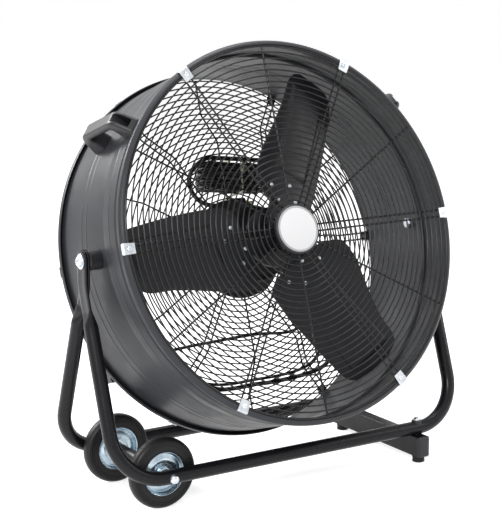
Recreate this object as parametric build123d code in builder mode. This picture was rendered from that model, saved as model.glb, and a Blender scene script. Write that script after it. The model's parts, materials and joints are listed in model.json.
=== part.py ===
"""Drum fan: a tilting steel drum on a two-wheeled tube stand.

The origin is on the floor, in the middle of the fan. +X is to the right of someone facing the
outlet, -Y is the outlet side and +Z is up. Millimetres.
"""

import os
from math import asin, atan2, cos, pi, radians, sin, tan

from build123d import *

os.makedirs("parts", exist_ok=True)

# ---- driving dimensions: stand ----
drum_radius = 340.0  # over the turned rims; the stand follows it
arm_clearance = 21.0  # from the rims to the middle of an arm
floor_clearance = 87.2  # under the rims, with the drum level
tube_diameter = 25.0
tube_wall = 1.5
tube_sides = 10  # flats that stand for a round tube, outside
bore_sides = 6  # and inside
tube_spacing = 225.2  # between the front and rear bottom tubes
tube_bend_radius = 88.0
plate_width = 32.0  # flattened tube ends at the pivot
plate_thickness = 5.0
plate_top = 20.0  # above the pivot
plate_bend = 43.0  # below the pivot, where the arms turn upright
plate_low = 81.0  # below the pivot, where the flat begins
flare_length = 32.0  # from round tube to flat end
flat_stagger = 13.4  # of the flat's lower end, from the pivot's plane

wheel_diameter = 125.0
wheel_width = 24.0
wheel_clearance = 29.6  # from a bottom tube's middle to its wheel's middle
wheel_inset = 99.2  # of the axle, from the left arm
wheel_sides = 32  # flats that stand for a round tread
tyre_crown = 15.0  # width of the flat tread
shoulder_taper = 45.0
rim_diameter = 76.0
rim_width = 20.0
rim_lip = 2.0  # of the rim round its pressed faces
rim_web = 4.0
hub_diameter = 24.0
axle_diameter = 12.0
axle_nut_diameter = 17.0
axle_nut_height = 9.0
axle_nut_taper = 20.0
sleeve_diameter = 22.0
small_sides = 16  # flats of small round pieces
running_gap = 0.08  # radial, on every turning pair
side_gap = 0.4  # axial, beside every turning piece

bar_inset = 94.5  # of the cross bar, from the right arm
bar_width = 25.0
bar_wall = 1.5
bar_overhang = 20.0  # past the bottom tubes' middles, at each end
cap_thickness = 5.0
cap_plug = 12.0
cap_taper = 18.0
foot_diameter = 24.0
foot_height = 11.0
foot_taper = 4.0
foot_offset = 8.0  # past the bottom tubes' middles
collar_diameter = 19.0
collar_height = 5.0
bar_screw_diameter = 6.0
bar_head_diameter = 12.0
bar_head_height = 6.0
bar_head_taper = 15.0

# ---- driving dimensions: drum ----
rest_tilt = 18.73  # degrees, outlet raised
drum_front = 107.0  # from the pivot to the outlet rim
drum_rear = 143.5  # from the pivot to the inlet rim
rim_height = 7.8  # of the turned rims, over the shell
sheet = 1.2
rim_depth = 14.0
rim_chamfer = 6.5

wire = 3.0
ring_sides = 20
guard_gap = 1.0  # between a guard's outer ring and the shell
front_rings = 8
rear_flat_rings = 3
rear_cone_rings = 1
rear_inner_rings = 3
guard_centre = 40.0  # radius of the front guard's smallest ring
pair_spacing = 12.0  # between the two wires of a radial pair
dish_border = 70.2  # from the shell to the dish's outer edge
dish_slope = 59.0  # from the dish's outer edge to its floor
dish_depth = 41.0
inner_guard_radius = 80.0

clip_count = 6
clip_width = 20.0
clip_length = 21.0
clip_inset = 1.0  # inside the rims' edge
clip_sheet = 2.0
clip_screw_diameter = 8.0
clip_screw_height = 2.5

badge_diameter = 89.0
badge_height = 9.0
badge_edge = 5.0
badge_sides = 40  # flats that stand for its round edge
badge_taper = 45.0

handle_angle = 142.5  # degrees round the drum from +X, for the left handle
handle_front = 90.0
handle_rear = -62.0
handle_height = 44.0
handle_width = 30.0
handle_foot = 36.0  # length of each end block
handle_grip = 15.0  # thickness over the opening
handle_corner = 26.0
handle_toe = 4.5  # corner at the foot of each end
opening_corner = 8.7
recess_width = 16.0
recess_length = 22.0
recess_floor = 8.0
handle_screw_diameter = 14.0
handle_screw_height = 4.0

spacer_diameter = 34.0
pivot_bolt_diameter = 12.0
washer_diameter = 26.0
washer_thickness = 1.6
bolt_head_diameter = 18.0
bolt_head_height = 7.0
bolt_head_taper = 12.0
pivot_nut_diameter = 20.0
pivot_nut_height = 9.0
bolt_tail = 2.0  # past the nut
seat_gap = 0.3  # between flat faces that slide on each other

# ---- driving dimensions: motor and rotor ----
mount_thickness = 3.0
mount_overlap = 12.0  # outside the rear guard's smallest ring
motor_sides = 32  # flats that stand for the round casing
motor_radius = 70.0
motor_length = 62.0
bell_depth = 10.0
bell_taper = 31.0
boss_radius = 22.0
boss_depth = 8.0
rear_bell_radius = 59.0
rear_bell_depth = 28.0
rear_bell_shoulder = 20.0
rear_bell_taper = 35.0
motor_screw_circle = 74.0
motor_screw_diameter = 9.0
motor_screw_height = 5.0
shaft_diameter = 14.0
shaft_inset = 4.0  # of the shaft's rear end, in the rear bell
hub_radius = 26.0
hub_front = 30.0
hub_rear = -8.0
hub_disc_radius = 54.0
hub_disc_thickness = 5.0
hub_nut_diameter = 22.0
hub_nut_height = 9.0
shaft_tail = 3.0  # past the hub nut
rotor_depth = 35.0
blade_count = 3
blade_phase = 63.5
blade_pitch = 18.0
blade_camber_radius = 400.0
blade_sheet = 1.5
blade_root_radius = 60.0
tip_gap = 23.0  # from the blade tips to the shell
blade_belly_radius = 130.0  # where a blade is widest
blade_waist_radius = 240.0  # past which its sides run straight
blade_root_half = 52.0
blade_lead_belly = 70.0  # of the leading side, from the blade's spoke
blade_lead_waist = 66.0
blade_lead_tip = 56.0
blade_trail_belly = 85.0
blade_trail_waist = 58.0
blade_trail_tip = 56.0
blade_corner = 24.0
panel_height = 2.0
panel_root = 60.0  # from the blade's root
panel_tip = 22.0  # from its tip
panel_half = 39.0
arm_half = 26.0
arm_sheet = 4.0
arm_reach = 112.0

# ---- driving dimensions: switch and cords ----
box_length = 70.0
box_height = 50.0
box_depth = 35.0
box_wall = 2.5
box_angle = 216.87  # degrees round the drum from +X
box_inset = 32.2  # of its middle, inside the shell
lid_thickness = 3.0
knob_diameter = 34.0
knob_height = 14.0
knob_base_height = 7.0
knob_sides = 12
knob_bar_length = 30.6
knob_bar_width = 8.5
spindle_diameter = 6.0
spindle_length = 12.0  # into the box
gland_diameter = 16.0
gland_length = 14.0
gland_drop = 12.0  # under the box's middle
inner_lead_rise = 12.0  # over the box's middle
outer_lead_rise = 2.0
lead_diameter = 6.0
cord_diameter = 8.5
cord_sides = 4
cord_gap = 0.3  # between a cord and what it lies on
hank_turns = 6
hank_pitch = 11.4
hank_fold_radius = 25.6
fold_flat = 0.4  # of straight cord between a fold's two bends
hank_straight = 100.0  # of the runs between the folds
hank_slope = -7.0
hank_x = 45.0
hank_up = 139.5
hank_lead_in = 30.0
hank_lead_out = 26.0
tie_width = 5.0
tie_thickness = 1.2
tie_offset = -2.0  # from the hank's middle
plug_length = 44.0
plug_width = 26.0
plug_height = 22.0
plug_neck_width = 13.0
plug_neck_height = 11.0
plug_neck_length = 14.0
plug_chamfer = 3.0
plug_x = 2.0
plug_up = 86.0
plug_set_back = 12.0  # behind the hank's front

# ---- frames ----
tube_radius = tube_diameter / 2
axle_height = wheel_diameter / 2
arm_x = drum_radius + arm_clearance
pivot_height = drum_radius + floor_clearance
wheel_offset = arm_x - wheel_inset
bar_offset = arm_x - bar_inset
half_spacing = tube_spacing / 2
wheel_spacing = tube_spacing - 2 * wheel_clearance
shell_radius = drum_radius - rim_height
shell_inner = shell_radius - sheet
pivot_y = (drum_front - drum_rear) / 2 * cos(radians(rest_tilt))  # centres the fan front to back
outlet = Vector(0, -cos(radians(rest_tilt)), sin(radians(rest_tilt)))
drum = Plane(origin=(0, pivot_y, pivot_height), x_dir=(1, 0, 0), z_dir=outlet)
drum_axis = Axis(drum.origin, outlet)


def radial_plane(angle):
    """A plane through the drum's axis: x runs outwards at the angle, y towards the outlet."""
    out = drum.x_dir * cos(radians(angle)) + drum.y_dir * sin(radians(angle))
    return Plane(origin=drum.origin, x_dir=out, z_dir=out.cross(outlet))


def spoke_plane(angle, radius, depth):
    """A plane square to the spoke at the angle: x runs round the drum, y towards the outlet."""
    out = drum.x_dir * cos(radians(angle)) + drum.y_dir * sin(radians(angle))
    around = outlet.cross(out)
    return Plane(origin=drum.origin + out * radius + outlet * depth, x_dir=around, z_dir=out)


def in_drum(x, up, depth):
    """A point of the drum's frame, in the fan's frame."""
    return drum.from_local_coords(Vector(x, up, depth))


def keep(piece, name):
    """Label a finished piece and write its file."""
    piece.part.label = name
    export_step(piece.part, f"parts/{name}.step")


# ---- stand: two bent tubes ----
lean = atan2(half_spacing - flat_stagger, pivot_height - plate_low - axle_height)


def squashed(width, thickness, sides=tube_sides):
    """The tube's many-sided section, squashed to a width along y and a thickness along x."""
    step = 2 * pi / sides
    points = [(thickness / 2 * cos(step * i), width / 2 * sin(step * i)) for i in range(sides)]
    Polygon(*points, align=None)


def stand_tube(side, name):
    """A bottom tube with its arms; side is -1 for the front one and +1 for the rear one."""
    bottom_y = pivot_y + side * half_spacing
    flare_z = pivot_height - plate_low - flare_length * cos(lean)
    flare_y = pivot_y + side * (flat_stagger + flare_length * sin(lean))
    with BuildPart() as tube:
        with BuildLine():
            path = FilletPolyline(
                (-arm_x, flare_y, flare_z),
                (-arm_x, bottom_y, axle_height),
                (arm_x, bottom_y, axle_height),
                (arm_x, flare_y, flare_z),
                radius=tube_bend_radius,
            )
        start = Plane(origin=path @ 0, x_dir=(1, 0, 0), z_dir=path % 0)
        with BuildSketch(start):
            squashed(tube_diameter, tube_diameter)
        sweep(path=path)
        with BuildSketch(start):
            squashed(tube_diameter - 2 * tube_wall, tube_diameter - 2 * tube_wall, bore_sides)
        sweep(path=path, mode=Mode.SUBTRACT)
        for x in (-1, 1):
            # the front tube's flat ends lie outside the rear tube's
            plate_x = x * (arm_x - side * plate_thickness / 2)
            up = Vector(0, -side * sin(lean), cos(lean))
            with BuildSketch(Plane(origin=(x * arm_x, flare_y, flare_z), x_dir=(1, 0, 0), z_dir=up)):
                squashed(tube_diameter, tube_diameter)
            low = (plate_x, pivot_y + side * flat_stagger, pivot_height - plate_low)
            with BuildSketch(Plane(origin=low, x_dir=(1, 0, 0), z_dir=up)):
                squashed(plate_width, plate_thickness)
            loft(ruled=True)
            face = Plane(origin=(plate_x, pivot_y, pivot_height), x_dir=(0, 1, 0), z_dir=(1, 0, 0))
            half = plate_width / 2
            low_y = side * flat_stagger
            tip = side * half * sin(lean) * tan(lean)
            with BuildSketch(face):
                with BuildLine():
                    Line((low_y - half, -plate_low - tip), (-half, -plate_bend))
                    Line((-half, -plate_bend), (-half, plate_top - half / 2))
                    ThreePointArc(
                        (-half, plate_top - half / 2), (0, plate_top), (half, plate_top - half / 2)
                    )
                    Line((half, plate_top - half / 2), (half, -plate_bend))
                    Line((half, -plate_bend), (low_y + half, -plate_low + tip))
                    Line((low_y + half, -plate_low + tip), (low_y - half, -plate_low - tip))
                make_face()
            extrude(amount=plate_thickness / 2, both=True)
            with BuildSketch(face):
                Circle(pivot_bolt_diameter / 2 + running_gap)
            extrude(amount=plate_thickness, both=True, mode=Mode.SUBTRACT)
        # the axle's hole at the left and the bar screw's at the right
        with BuildSketch(Plane(origin=(-wheel_offset, bottom_y, axle_height), z_dir=(0, 1, 0))):
            Circle(axle_diameter / 2)
        extrude(amount=tube_diameter, both=True, mode=Mode.SUBTRACT)
        with BuildSketch(Plane(origin=(bar_offset, bottom_y, axle_height))):
            Circle(bar_screw_diameter / 2)
        extrude(amount=tube_diameter, both=True, mode=Mode.SUBTRACT)
    keep(tube, name)


stand_tube(-1, "front_tube")
stand_tube(1, "rear_tube")

# ---- stand: cross bar, caps, feet and screws ----
bar_top = axle_height - tube_radius
bar_half = half_spacing + bar_overhang
bar_middle = (foot_height + bar_top) / 2
bar_rise = bar_top - foot_height
bar_plane = Plane(origin=(bar_offset, pivot_y, bar_middle), x_dir=(1, 0, 0), z_dir=(0, -1, 0))
bar_centre = Plane(origin=(bar_offset, pivot_y, axle_height))
with BuildPart() as cross_bar:
    with BuildSketch(bar_plane):
        Rectangle(bar_width, bar_rise)
        Rectangle(bar_width - 2 * bar_wall, bar_rise - 2 * bar_wall, mode=Mode.SUBTRACT)
    extrude(amount=bar_half, both=True)
    with BuildSketch(bar_centre):
        with Locations((0, -half_spacing), (0, half_spacing)):
            Circle(bar_screw_diameter / 2)
    extrude(amount=-axle_height, mode=Mode.SUBTRACT)
keep(cross_bar, "cross_bar")

with BuildPart() as bar_caps:
    for end in (-1, 1):
        with BuildSketch(bar_plane.offset(end * bar_half)):
            Rectangle(bar_width, bar_rise)
        extrude(amount=end * cap_thickness, taper=cap_taper)
        with BuildSketch(bar_plane.offset(end * bar_half)):
            Rectangle(bar_width - 2 * bar_wall, bar_rise - 2 * bar_wall)
        extrude(amount=-end * cap_plug)
keep(bar_caps, "bar_caps")

with BuildPart() as rubber_feet:
    with BuildSketch(Plane(origin=(bar_offset, pivot_y, foot_height))):
        with Locations((0, -half_spacing - foot_offset), (0, half_spacing + foot_offset)):
            RegularPolygon(foot_diameter / 2, small_sides)
    extrude(amount=-foot_height, taper=foot_taper)
keep(rubber_feet, "rubber_feet")

with BuildPart() as screw_collars:
    with BuildSketch(bar_centre.offset(tube_radius - collar_height / 2)):
        with Locations((0, -half_spacing), (0, half_spacing)):
            RegularPolygon(collar_diameter / 2, small_sides)
            Circle(bar_screw_diameter / 2, mode=Mode.SUBTRACT)
    extrude(amount=collar_height)
    for side in (-1, 1):
        tube_axis = Plane(
            origin=(bar_offset, pivot_y + side * half_spacing, axle_height), z_dir=(1, 0, 0)
        )
        with BuildSketch(tube_axis):
            Circle(tube_radius + running_gap)
        extrude(amount=collar_diameter, both=True, mode=Mode.SUBTRACT)
keep(screw_collars, "screw_collars")

with BuildPart() as bar_screws:
    head_seat = bar_centre.offset(tube_radius + collar_height / 2)
    with BuildSketch(head_seat):
        with Locations((0, -half_spacing), (0, half_spacing)):
            RegularPolygon(bar_head_diameter / 2, 6)
    extrude(amount=bar_head_height, taper=bar_head_taper)
    with BuildSketch(head_seat):
        with Locations((0, -half_spacing), (0, half_spacing)):
            Circle(bar_screw_diameter / 2)
    extrude(amount=-(tube_diameter + collar_height / 2 + 2 * bar_wall))
keep(bar_screws, "bar_screws")

# ---- stand: axle and wheels ----
hub_length = 2 * (wheel_clearance - tube_radius - side_gap)
axle_plane = Plane(origin=(-wheel_offset, pivot_y, axle_height), x_dir=(1, 0, 0), z_dir=(0, -1, 0))
axle_half = half_spacing + tube_radius
with BuildPart() as axle:
    with BuildSketch(axle_plane):
        Circle(axle_diameter / 2)
    extrude(amount=axle_half, both=True)
keep(axle, "axle")

with BuildPart() as axle_nuts:
    for end in (-1, 1):
        with BuildSketch(axle_plane.offset(end * axle_half)):
            RegularPolygon(axle_nut_diameter / 2, 6)
        extrude(amount=end * axle_nut_height, taper=axle_nut_taper)
keep(axle_nuts, "axle_nuts")

with BuildPart() as axle_sleeve:
    with BuildSketch(axle_plane):
        RegularPolygon(sleeve_diameter / 2, small_sides)
        Circle(axle_diameter / 2, mode=Mode.SUBTRACT)
    extrude(amount=wheel_spacing / 2 - hub_length / 2 - side_gap, both=True)
keep(axle_sleeve, "axle_sleeve")


def wheel(side, name):
    """A solid tyre on a pressed rim; side is -1 for the front wheel and +1 for the rear one."""
    middle = axle_plane.offset(-side * wheel_spacing / 2)
    seat = rim_diameter / 2
    with BuildPart() as tyre:
        with BuildSketch(middle):
            RegularPolygon(axle_height, wheel_sides)
        extrude(amount=tyre_crown / 2, both=True)
        for end in (-1, 1):
            with BuildSketch(middle.offset(end * tyre_crown / 2)):
                RegularPolygon(axle_height, wheel_sides)
            extrude(amount=end * (wheel_width - tyre_crown) / 2, taper=shoulder_taper)
        with BuildSketch(middle):
            RegularPolygon(seat, wheel_sides)
        extrude(amount=wheel_width, both=True, mode=Mode.SUBTRACT)
    keep(tyre, f"{name}_tyre")
    with BuildPart() as rim:
        with BuildSketch(middle):
            RegularPolygon(seat, wheel_sides)
        extrude(amount=rim_width / 2, both=True)
        for end in (-1, 1):
            with BuildSketch(middle.offset(end * rim_width / 2)):
                RegularPolygon(seat - rim_lip, wheel_sides)
            extrude(amount=-end * (rim_width - rim_web) / 2, mode=Mode.SUBTRACT)
        with BuildSketch(middle):
            Circle(hub_diameter / 2)
        extrude(amount=hub_length / 2, both=True)
        with BuildSketch(middle):
            Circle(axle_diameter / 2 + running_gap)
        extrude(amount=hub_length, both=True, mode=Mode.SUBTRACT)
    keep(rim, f"{name}_rim")


wheel(-1, "front")
wheel(1, "rear")
print("stand done")

# ---- drum: sheet shell with turned rims ----
profile = radial_plane(0)
with BuildPart() as drum_shell:
    with BuildSketch(profile):
        with BuildLine():
            Polyline(
                (drum_radius, -drum_rear + rim_depth),
                (drum_radius, -drum_rear + rim_chamfer),
                (drum_radius - rim_chamfer, -drum_rear),
                (shell_inner, -drum_rear),
                (shell_inner, drum_front),
                (drum_radius - rim_chamfer, drum_front),
                (drum_radius, drum_front - rim_chamfer),
                (drum_radius, drum_front - rim_depth),
            )
            offset(amount=sheet, side=Side.RIGHT, kind=Kind.INTERSECTION)
        make_face()
    revolve(axis=drum_axis)
    with BuildSketch(Plane(origin=drum.origin, z_dir=(1, 0, 0))):
        Circle(pivot_bolt_diameter / 2)
    extrude(amount=drum_radius, both=True, mode=Mode.SUBTRACT)
keep(drum_shell, "drum_shell")
print("shell done")

# ---- drum: wire guards ----
guard_radius = shell_inner - guard_gap
pair_angles = [i * 360 / clip_count for i in range(clip_count)]
single_angles = [angle + 180 / clip_count for angle in pair_angles]


def rings(radii):
    """Many-sided rings of one wire's width, largest first."""
    for radius in radii:
        RegularPolygon(radius, ring_sides)
        RegularPolygon(radius - wire, ring_sides, mode=Mode.SUBTRACT)


def steps(start, end, count):
    """Evenly stepped values from start down to end, both included."""
    return [start + (end - start) * i / (count - 1) for i in range(count)]


with BuildPart() as front_guard:
    with BuildSketch(drum.offset(drum_front - wire)):
        rings(steps(guard_radius, guard_centre, front_rings))
    extrude(amount=wire)
    with BuildSketch(drum.offset(drum_front - 2 * wire)):
        span = guard_radius - guard_centre
        for angle in pair_angles:
            with PolarLocations(guard_centre - wire / 2 + span / 2, 1, start_angle=angle):
                with GridLocations(0, pair_spacing, 1, 2):
                    Rectangle(span, wire)
        for angle in single_angles:
            with PolarLocations(guard_centre - wire / 2 + span / 2, 1, start_angle=angle):
                Rectangle(span, wire)
    extrude(amount=wire)
keep(front_guard, "front_guard")

rim_line = wire - drum_rear
dish_line = rim_line + dish_depth
dish_outer_radius = shell_radius - dish_border
dish_inner_radius = dish_outer_radius - dish_slope
cone_radii = steps(dish_outer_radius, dish_inner_radius, rear_cone_rings + 2)[1:-1]
with BuildPart() as rear_guard:
    with BuildSketch(drum.offset(rim_line - wire)):
        rings(steps(guard_radius, dish_outer_radius + wire, rear_flat_rings))
    extrude(amount=wire)
    with BuildSketch(drum.offset(dish_line - wire)):
        rings(steps(dish_inner_radius, inner_guard_radius, rear_inner_rings))
    extrude(amount=wire)
    for radius in cone_radii:
        share = (dish_outer_radius - radius) / (dish_outer_radius - dish_inner_radius)
        with BuildSketch(drum.offset(rim_line + dish_depth * share - wire / 2)):
            rings([radius])
        extrude(amount=wire)
    for angle in pair_angles + single_angles:
        paired = angle in pair_angles
        for shift in (-pair_spacing / 2, pair_spacing / 2) if paired else (0,):
            with BuildSketch(radial_plane(angle).offset(shift)):
                with BuildLine():
                    Polyline(
                        (inner_guard_radius - 2 * wire, dish_line),
                        (dish_inner_radius, dish_line),
                        (dish_outer_radius, rim_line),
                        (guard_radius - wire / 2, rim_line),
                    )
                    offset(amount=wire, side=Side.LEFT, kind=Kind.INTERSECTION)
                make_face()
            extrude(amount=wire / 2, both=True)
keep(rear_guard, "rear_guard")
print("guards done")


# ---- drum: clips on both rims ----
def rim_clips(depth, outward, name):
    """Six clips that hold a guard's wire pairs to the rim; outward is the clip's direction."""
    middle = drum_radius - clip_inset - clip_length / 2
    with BuildPart() as clips:
        with BuildSketch(drum.offset(depth)):
            with PolarLocations(middle, clip_count):
                Rectangle(clip_length, clip_width)
        extrude(amount=outward * clip_sheet)
    keep(clips, name)


rim_clips(drum_front, 1, "front_clips")
rim_clips(-drum_rear, -1, "rear_clips")

with BuildPart() as clip_screws:
    for depth, outward in ((drum_front, 1), (-drum_rear, -1)):
        with BuildSketch(drum.offset(depth + outward * clip_sheet)):
            with PolarLocations(shell_radius, clip_count):
                RegularPolygon(clip_screw_diameter / 2, 6)
        extrude(amount=outward * clip_screw_height)
keep(clip_screws, "clip_screws")

# ---- drum: round badge plate, bare ----
with BuildPart() as badge_plate:
    with BuildSketch(drum.offset(drum_front)):
        RegularPolygon(badge_diameter / 2, badge_sides)
    extrude(amount=badge_edge)
    with BuildSketch(drum.offset(drum_front + badge_edge)):
        RegularPolygon(badge_diameter / 2, badge_sides)
    extrude(amount=badge_height - badge_edge, taper=badge_taper)
keep(badge_plate, "badge_plate")


# ---- drum: carrying handles ----
recess_radius = shell_radius + recess_floor


def handle(angle, name):
    """A moulded bridge handle along the drum, with a screw recess in each end block."""
    plane = radial_plane(angle)
    top = shell_radius + handle_height
    middle = (handle_front + handle_rear) / 2
    length = handle_front - handle_rear
    with BuildPart() as piece:
        with BuildSketch(plane):
            with BuildLine():
                FilletPolyline(
                    (shell_inner, handle_rear),
                    (recess_radius, handle_rear),
                    (top, handle_rear + handle_foot / 2),
                    (top, handle_front - handle_foot / 2),
                    (recess_radius, handle_front),
                    (shell_inner, handle_front),
                    radius=[handle_toe, handle_corner, handle_corner, handle_toe],
                )
                Line((shell_inner, handle_front), (shell_inner, handle_rear))
            make_face()
            with Locations((shell_inner + (top - handle_grip - shell_inner) / 2, middle)):
                RectangleRounded(
                    top - handle_grip - shell_inner,
                    length - 2 * handle_foot,
                    opening_corner,
                    mode=Mode.SUBTRACT,
                )
            with Locations((shell_inner, middle)):
                Rectangle(handle_height, length - 2 * handle_foot, mode=Mode.SUBTRACT)
        extrude(amount=handle_width / 2, both=True)
        # the feet follow the drum
        with BuildSketch(drum.offset(middle)):
            Circle(shell_radius)
        extrude(amount=length, both=True, mode=Mode.SUBTRACT)
        for depth in (handle_rear + handle_foot / 2, handle_front - handle_foot / 2):
            with BuildSketch(spoke_plane(angle, recess_radius, depth)):
                Rectangle(recess_width, recess_length)
            extrude(amount=handle_height, mode=Mode.SUBTRACT)
    keep(piece, name)


handle(handle_angle, "left_handle")
handle(180 - handle_angle, "right_handle")

with BuildPart() as handle_screws:
    for angle in (handle_angle, 180 - handle_angle):
        for depth in (handle_rear + handle_foot / 2, handle_front - handle_foot / 2):
            with BuildSketch(spoke_plane(angle, recess_radius, depth)):
                RegularPolygon(handle_screw_diameter / 2, 6)
            extrude(amount=handle_screw_height)
keep(handle_screws, "handle_screws")

# ---- drum: tilt pivots ----
pivot_plane = Plane(origin=drum.origin, x_dir=(0, 1, 0), z_dir=(1, 0, 0))
plate_inner = arm_x - plate_thickness
plate_outer = arm_x + plate_thickness
bolt_end = shell_inner - pivot_nut_height - bolt_tail
with BuildPart() as pivot_spacers:
    for side in (-1, 1):
        with BuildSketch(pivot_plane.offset(side * (plate_inner - seat_gap))):
            RegularPolygon(spacer_diameter / 2, small_sides)
            Circle(pivot_bolt_diameter / 2, mode=Mode.SUBTRACT)
        extrude(amount=-side * (plate_inner - seat_gap - shell_inner))
    with BuildSketch(drum):
        Circle(shell_radius)
    extrude(amount=spacer_diameter, both=True, mode=Mode.SUBTRACT)
keep(pivot_spacers, "pivot_spacers")

with BuildPart() as pivot_washers:
    for side in (-1, 1):
        with BuildSketch(pivot_plane.offset(side * (plate_outer + seat_gap))):
            RegularPolygon(washer_diameter / 2, small_sides)
            Circle(pivot_bolt_diameter / 2, mode=Mode.SUBTRACT)
        extrude(amount=side * washer_thickness)
keep(pivot_washers, "pivot_washers")

head_seat_x = plate_outer + seat_gap + washer_thickness
with BuildPart() as pivot_bolts:
    for side in (-1, 1):
        with BuildSketch(pivot_plane.offset(side * head_seat_x)):
            RegularPolygon(bolt_head_diameter / 2, 6)
        extrude(amount=side * bolt_head_height, taper=bolt_head_taper)
        with BuildSketch(pivot_plane.offset(side * head_seat_x)):
            Circle(pivot_bolt_diameter / 2)
        extrude(amount=-side * (head_seat_x - bolt_end))
keep(pivot_bolts, "pivot_bolts")

with BuildPart() as pivot_nuts:
    for side in (-1, 1):
        with BuildSketch(pivot_plane.offset(side * (bolt_end + bolt_tail))):
            RegularPolygon(pivot_nut_diameter / 2, 6)
            Circle(pivot_bolt_diameter / 2, mode=Mode.SUBTRACT)
        extrude(amount=side * pivot_nut_height)
    with BuildSketch(drum):
        Circle(drum_radius)
        Circle(shell_inner, mode=Mode.SUBTRACT)
    extrude(amount=pivot_nut_diameter, both=True, mode=Mode.SUBTRACT)
keep(pivot_nuts, "pivot_nuts")
print("drum fittings done")

# ---- motor, on a plate welded to the rear guard's wires ----
mount_rear = dish_line + wire
mount_front = mount_rear + mount_thickness
casing_front = mount_front + motor_length
bell_front = casing_front + bell_depth
shaft_hole = shaft_diameter / 2 + running_gap
with BuildPart() as motor_mount:
    with BuildSketch(drum.offset(mount_rear)):
        RegularPolygon(inner_guard_radius + mount_overlap, motor_sides)
        RegularPolygon(rear_bell_radius, motor_sides, mode=Mode.SUBTRACT)
    extrude(amount=mount_thickness)
keep(motor_mount, "motor_mount")

with BuildPart() as motor_casing:
    with BuildSketch(drum.offset(mount_front)):
        RegularPolygon(motor_radius, motor_sides)
        Circle(shaft_hole, mode=Mode.SUBTRACT)
    extrude(amount=motor_length)
keep(motor_casing, "motor_casing")

with BuildPart() as motor_front_bell:
    with BuildSketch(drum.offset(casing_front)):
        RegularPolygon(motor_radius, motor_sides)
    extrude(amount=bell_depth, taper=bell_taper)
    with BuildSketch(drum.offset(bell_front)):
        Circle(boss_radius)
    extrude(amount=boss_depth)
    with BuildSketch(drum.offset(casing_front)):
        Circle(shaft_hole)
    extrude(amount=bell_depth + boss_depth, mode=Mode.SUBTRACT)
keep(motor_front_bell, "motor_front_bell")

with BuildPart() as motor_rear_bell:
    with BuildSketch(drum.offset(mount_front)):
        RegularPolygon(rear_bell_radius, motor_sides)
    extrude(amount=-mount_thickness - rear_bell_shoulder)
    with BuildSketch(drum.offset(mount_rear - rear_bell_shoulder)):
        RegularPolygon(rear_bell_radius, motor_sides)
    extrude(amount=rear_bell_shoulder - rear_bell_depth, taper=rear_bell_taper)
    with BuildSketch(drum.offset(mount_front)):
        Circle(shaft_hole)
    extrude(
        amount=-mount_thickness - rear_bell_depth + shaft_inset,
        mode=Mode.SUBTRACT,
    )
keep(motor_rear_bell, "motor_rear_bell")

with BuildPart() as motor_screws:
    with BuildSketch(drum.offset(mount_front)):
        with PolarLocations(motor_screw_circle + motor_screw_diameter / 2, 4, start_angle=45):
            RegularPolygon(motor_screw_diameter / 2, 6)
    extrude(amount=motor_screw_height)
keep(motor_screws, "motor_screws")

# ---- rotor: shaft, hub with three arms, blades ----
shaft_front = rotor_depth + hub_front + hub_nut_height + shaft_tail
shaft_rear = mount_rear - rear_bell_depth + shaft_inset + side_gap
with BuildPart() as motor_shaft:
    with BuildSketch(drum.offset(shaft_rear)):
        Circle(shaft_diameter / 2)
    extrude(amount=shaft_front - shaft_rear)
keep(motor_shaft, "motor_shaft")

with BuildPart() as hub_nut:
    with BuildSketch(drum.offset(rotor_depth + hub_front)):
        RegularPolygon(hub_nut_diameter / 2, 6)
        Circle(shaft_diameter / 2, mode=Mode.SUBTRACT)
    extrude(amount=hub_nut_height)
keep(hub_nut, "hub_nut")


def curved_strip(behind, thickness, half_width):
    """Across a spoke: an arc of sheet, pitched, hollow towards the outlet, behind the camber."""
    across = half_width / cos(radians(blade_pitch))
    half_turn = asin(across / blade_camber_radius)
    with BuildSketch() as strip:
        with BuildLine():
            arcs = []
            for radius in (blade_camber_radius + behind, blade_camber_radius + behind + thickness):
                x = radius * sin(half_turn)
                y = blade_camber_radius - radius * cos(half_turn)
                arcs.append(ThreePointArc((-x, y), (0, blade_camber_radius - radius), (x, y)))
            inner, outer = arcs
            Line(inner @ 0, outer @ 0)
            Line(inner @ 1, outer @ 1)
        make_face()
    return strip.sketch.rotate(Axis.Z, blade_pitch)


blade_tip_radius = shell_inner - tip_gap
blade_reach = blade_tip_radius + blade_corner
blade_sides = [
    (blade_root_radius, -blade_root_half),
    (blade_root_radius + blade_corner, -blade_lead_belly),
    (blade_waist_radius, -blade_lead_waist),
    (blade_reach, -blade_lead_tip),
    (blade_reach, blade_trail_tip),
    (blade_waist_radius, blade_trail_waist),
    (blade_belly_radius, blade_trail_belly),
    (blade_root_radius + blade_corner, blade_trail_belly),
    (blade_root_radius, blade_root_half),
]
blade_angles = [blade_phase + i * 360 / blade_count for i in range(blade_count)]
for number, angle in enumerate(blade_angles, start=1):
    spoke = spoke_plane(angle, blade_root_radius, rotor_depth)
    outline = Plane(origin=drum.origin + outlet * rotor_depth, x_dir=spoke.z_dir, z_dir=outlet)
    with BuildPart() as blade:
        with BuildSketch(spoke):
            add(curved_strip(0, blade_sheet, blade_trail_belly + blade_corner))
        extrude(amount=blade_tip_radius)
        with BuildSketch(spoke.offset(panel_root)):
            add(curved_strip(-panel_height, panel_height, panel_half))
        extrude(amount=blade_tip_radius - panel_tip - blade_root_radius - panel_root)
        with BuildSketch(outline):
            Polygon(*blade_sides, align=None)
            Circle(blade_tip_radius, mode=Mode.INTERSECT)
            fillet(vertices().sort_by(Axis.X)[-2:], radius=blade_corner)
        extrude(amount=2 * blade_trail_belly, both=True, mode=Mode.INTERSECT)
    keep(blade, f"blade_{number}")
print("blades done")

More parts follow.
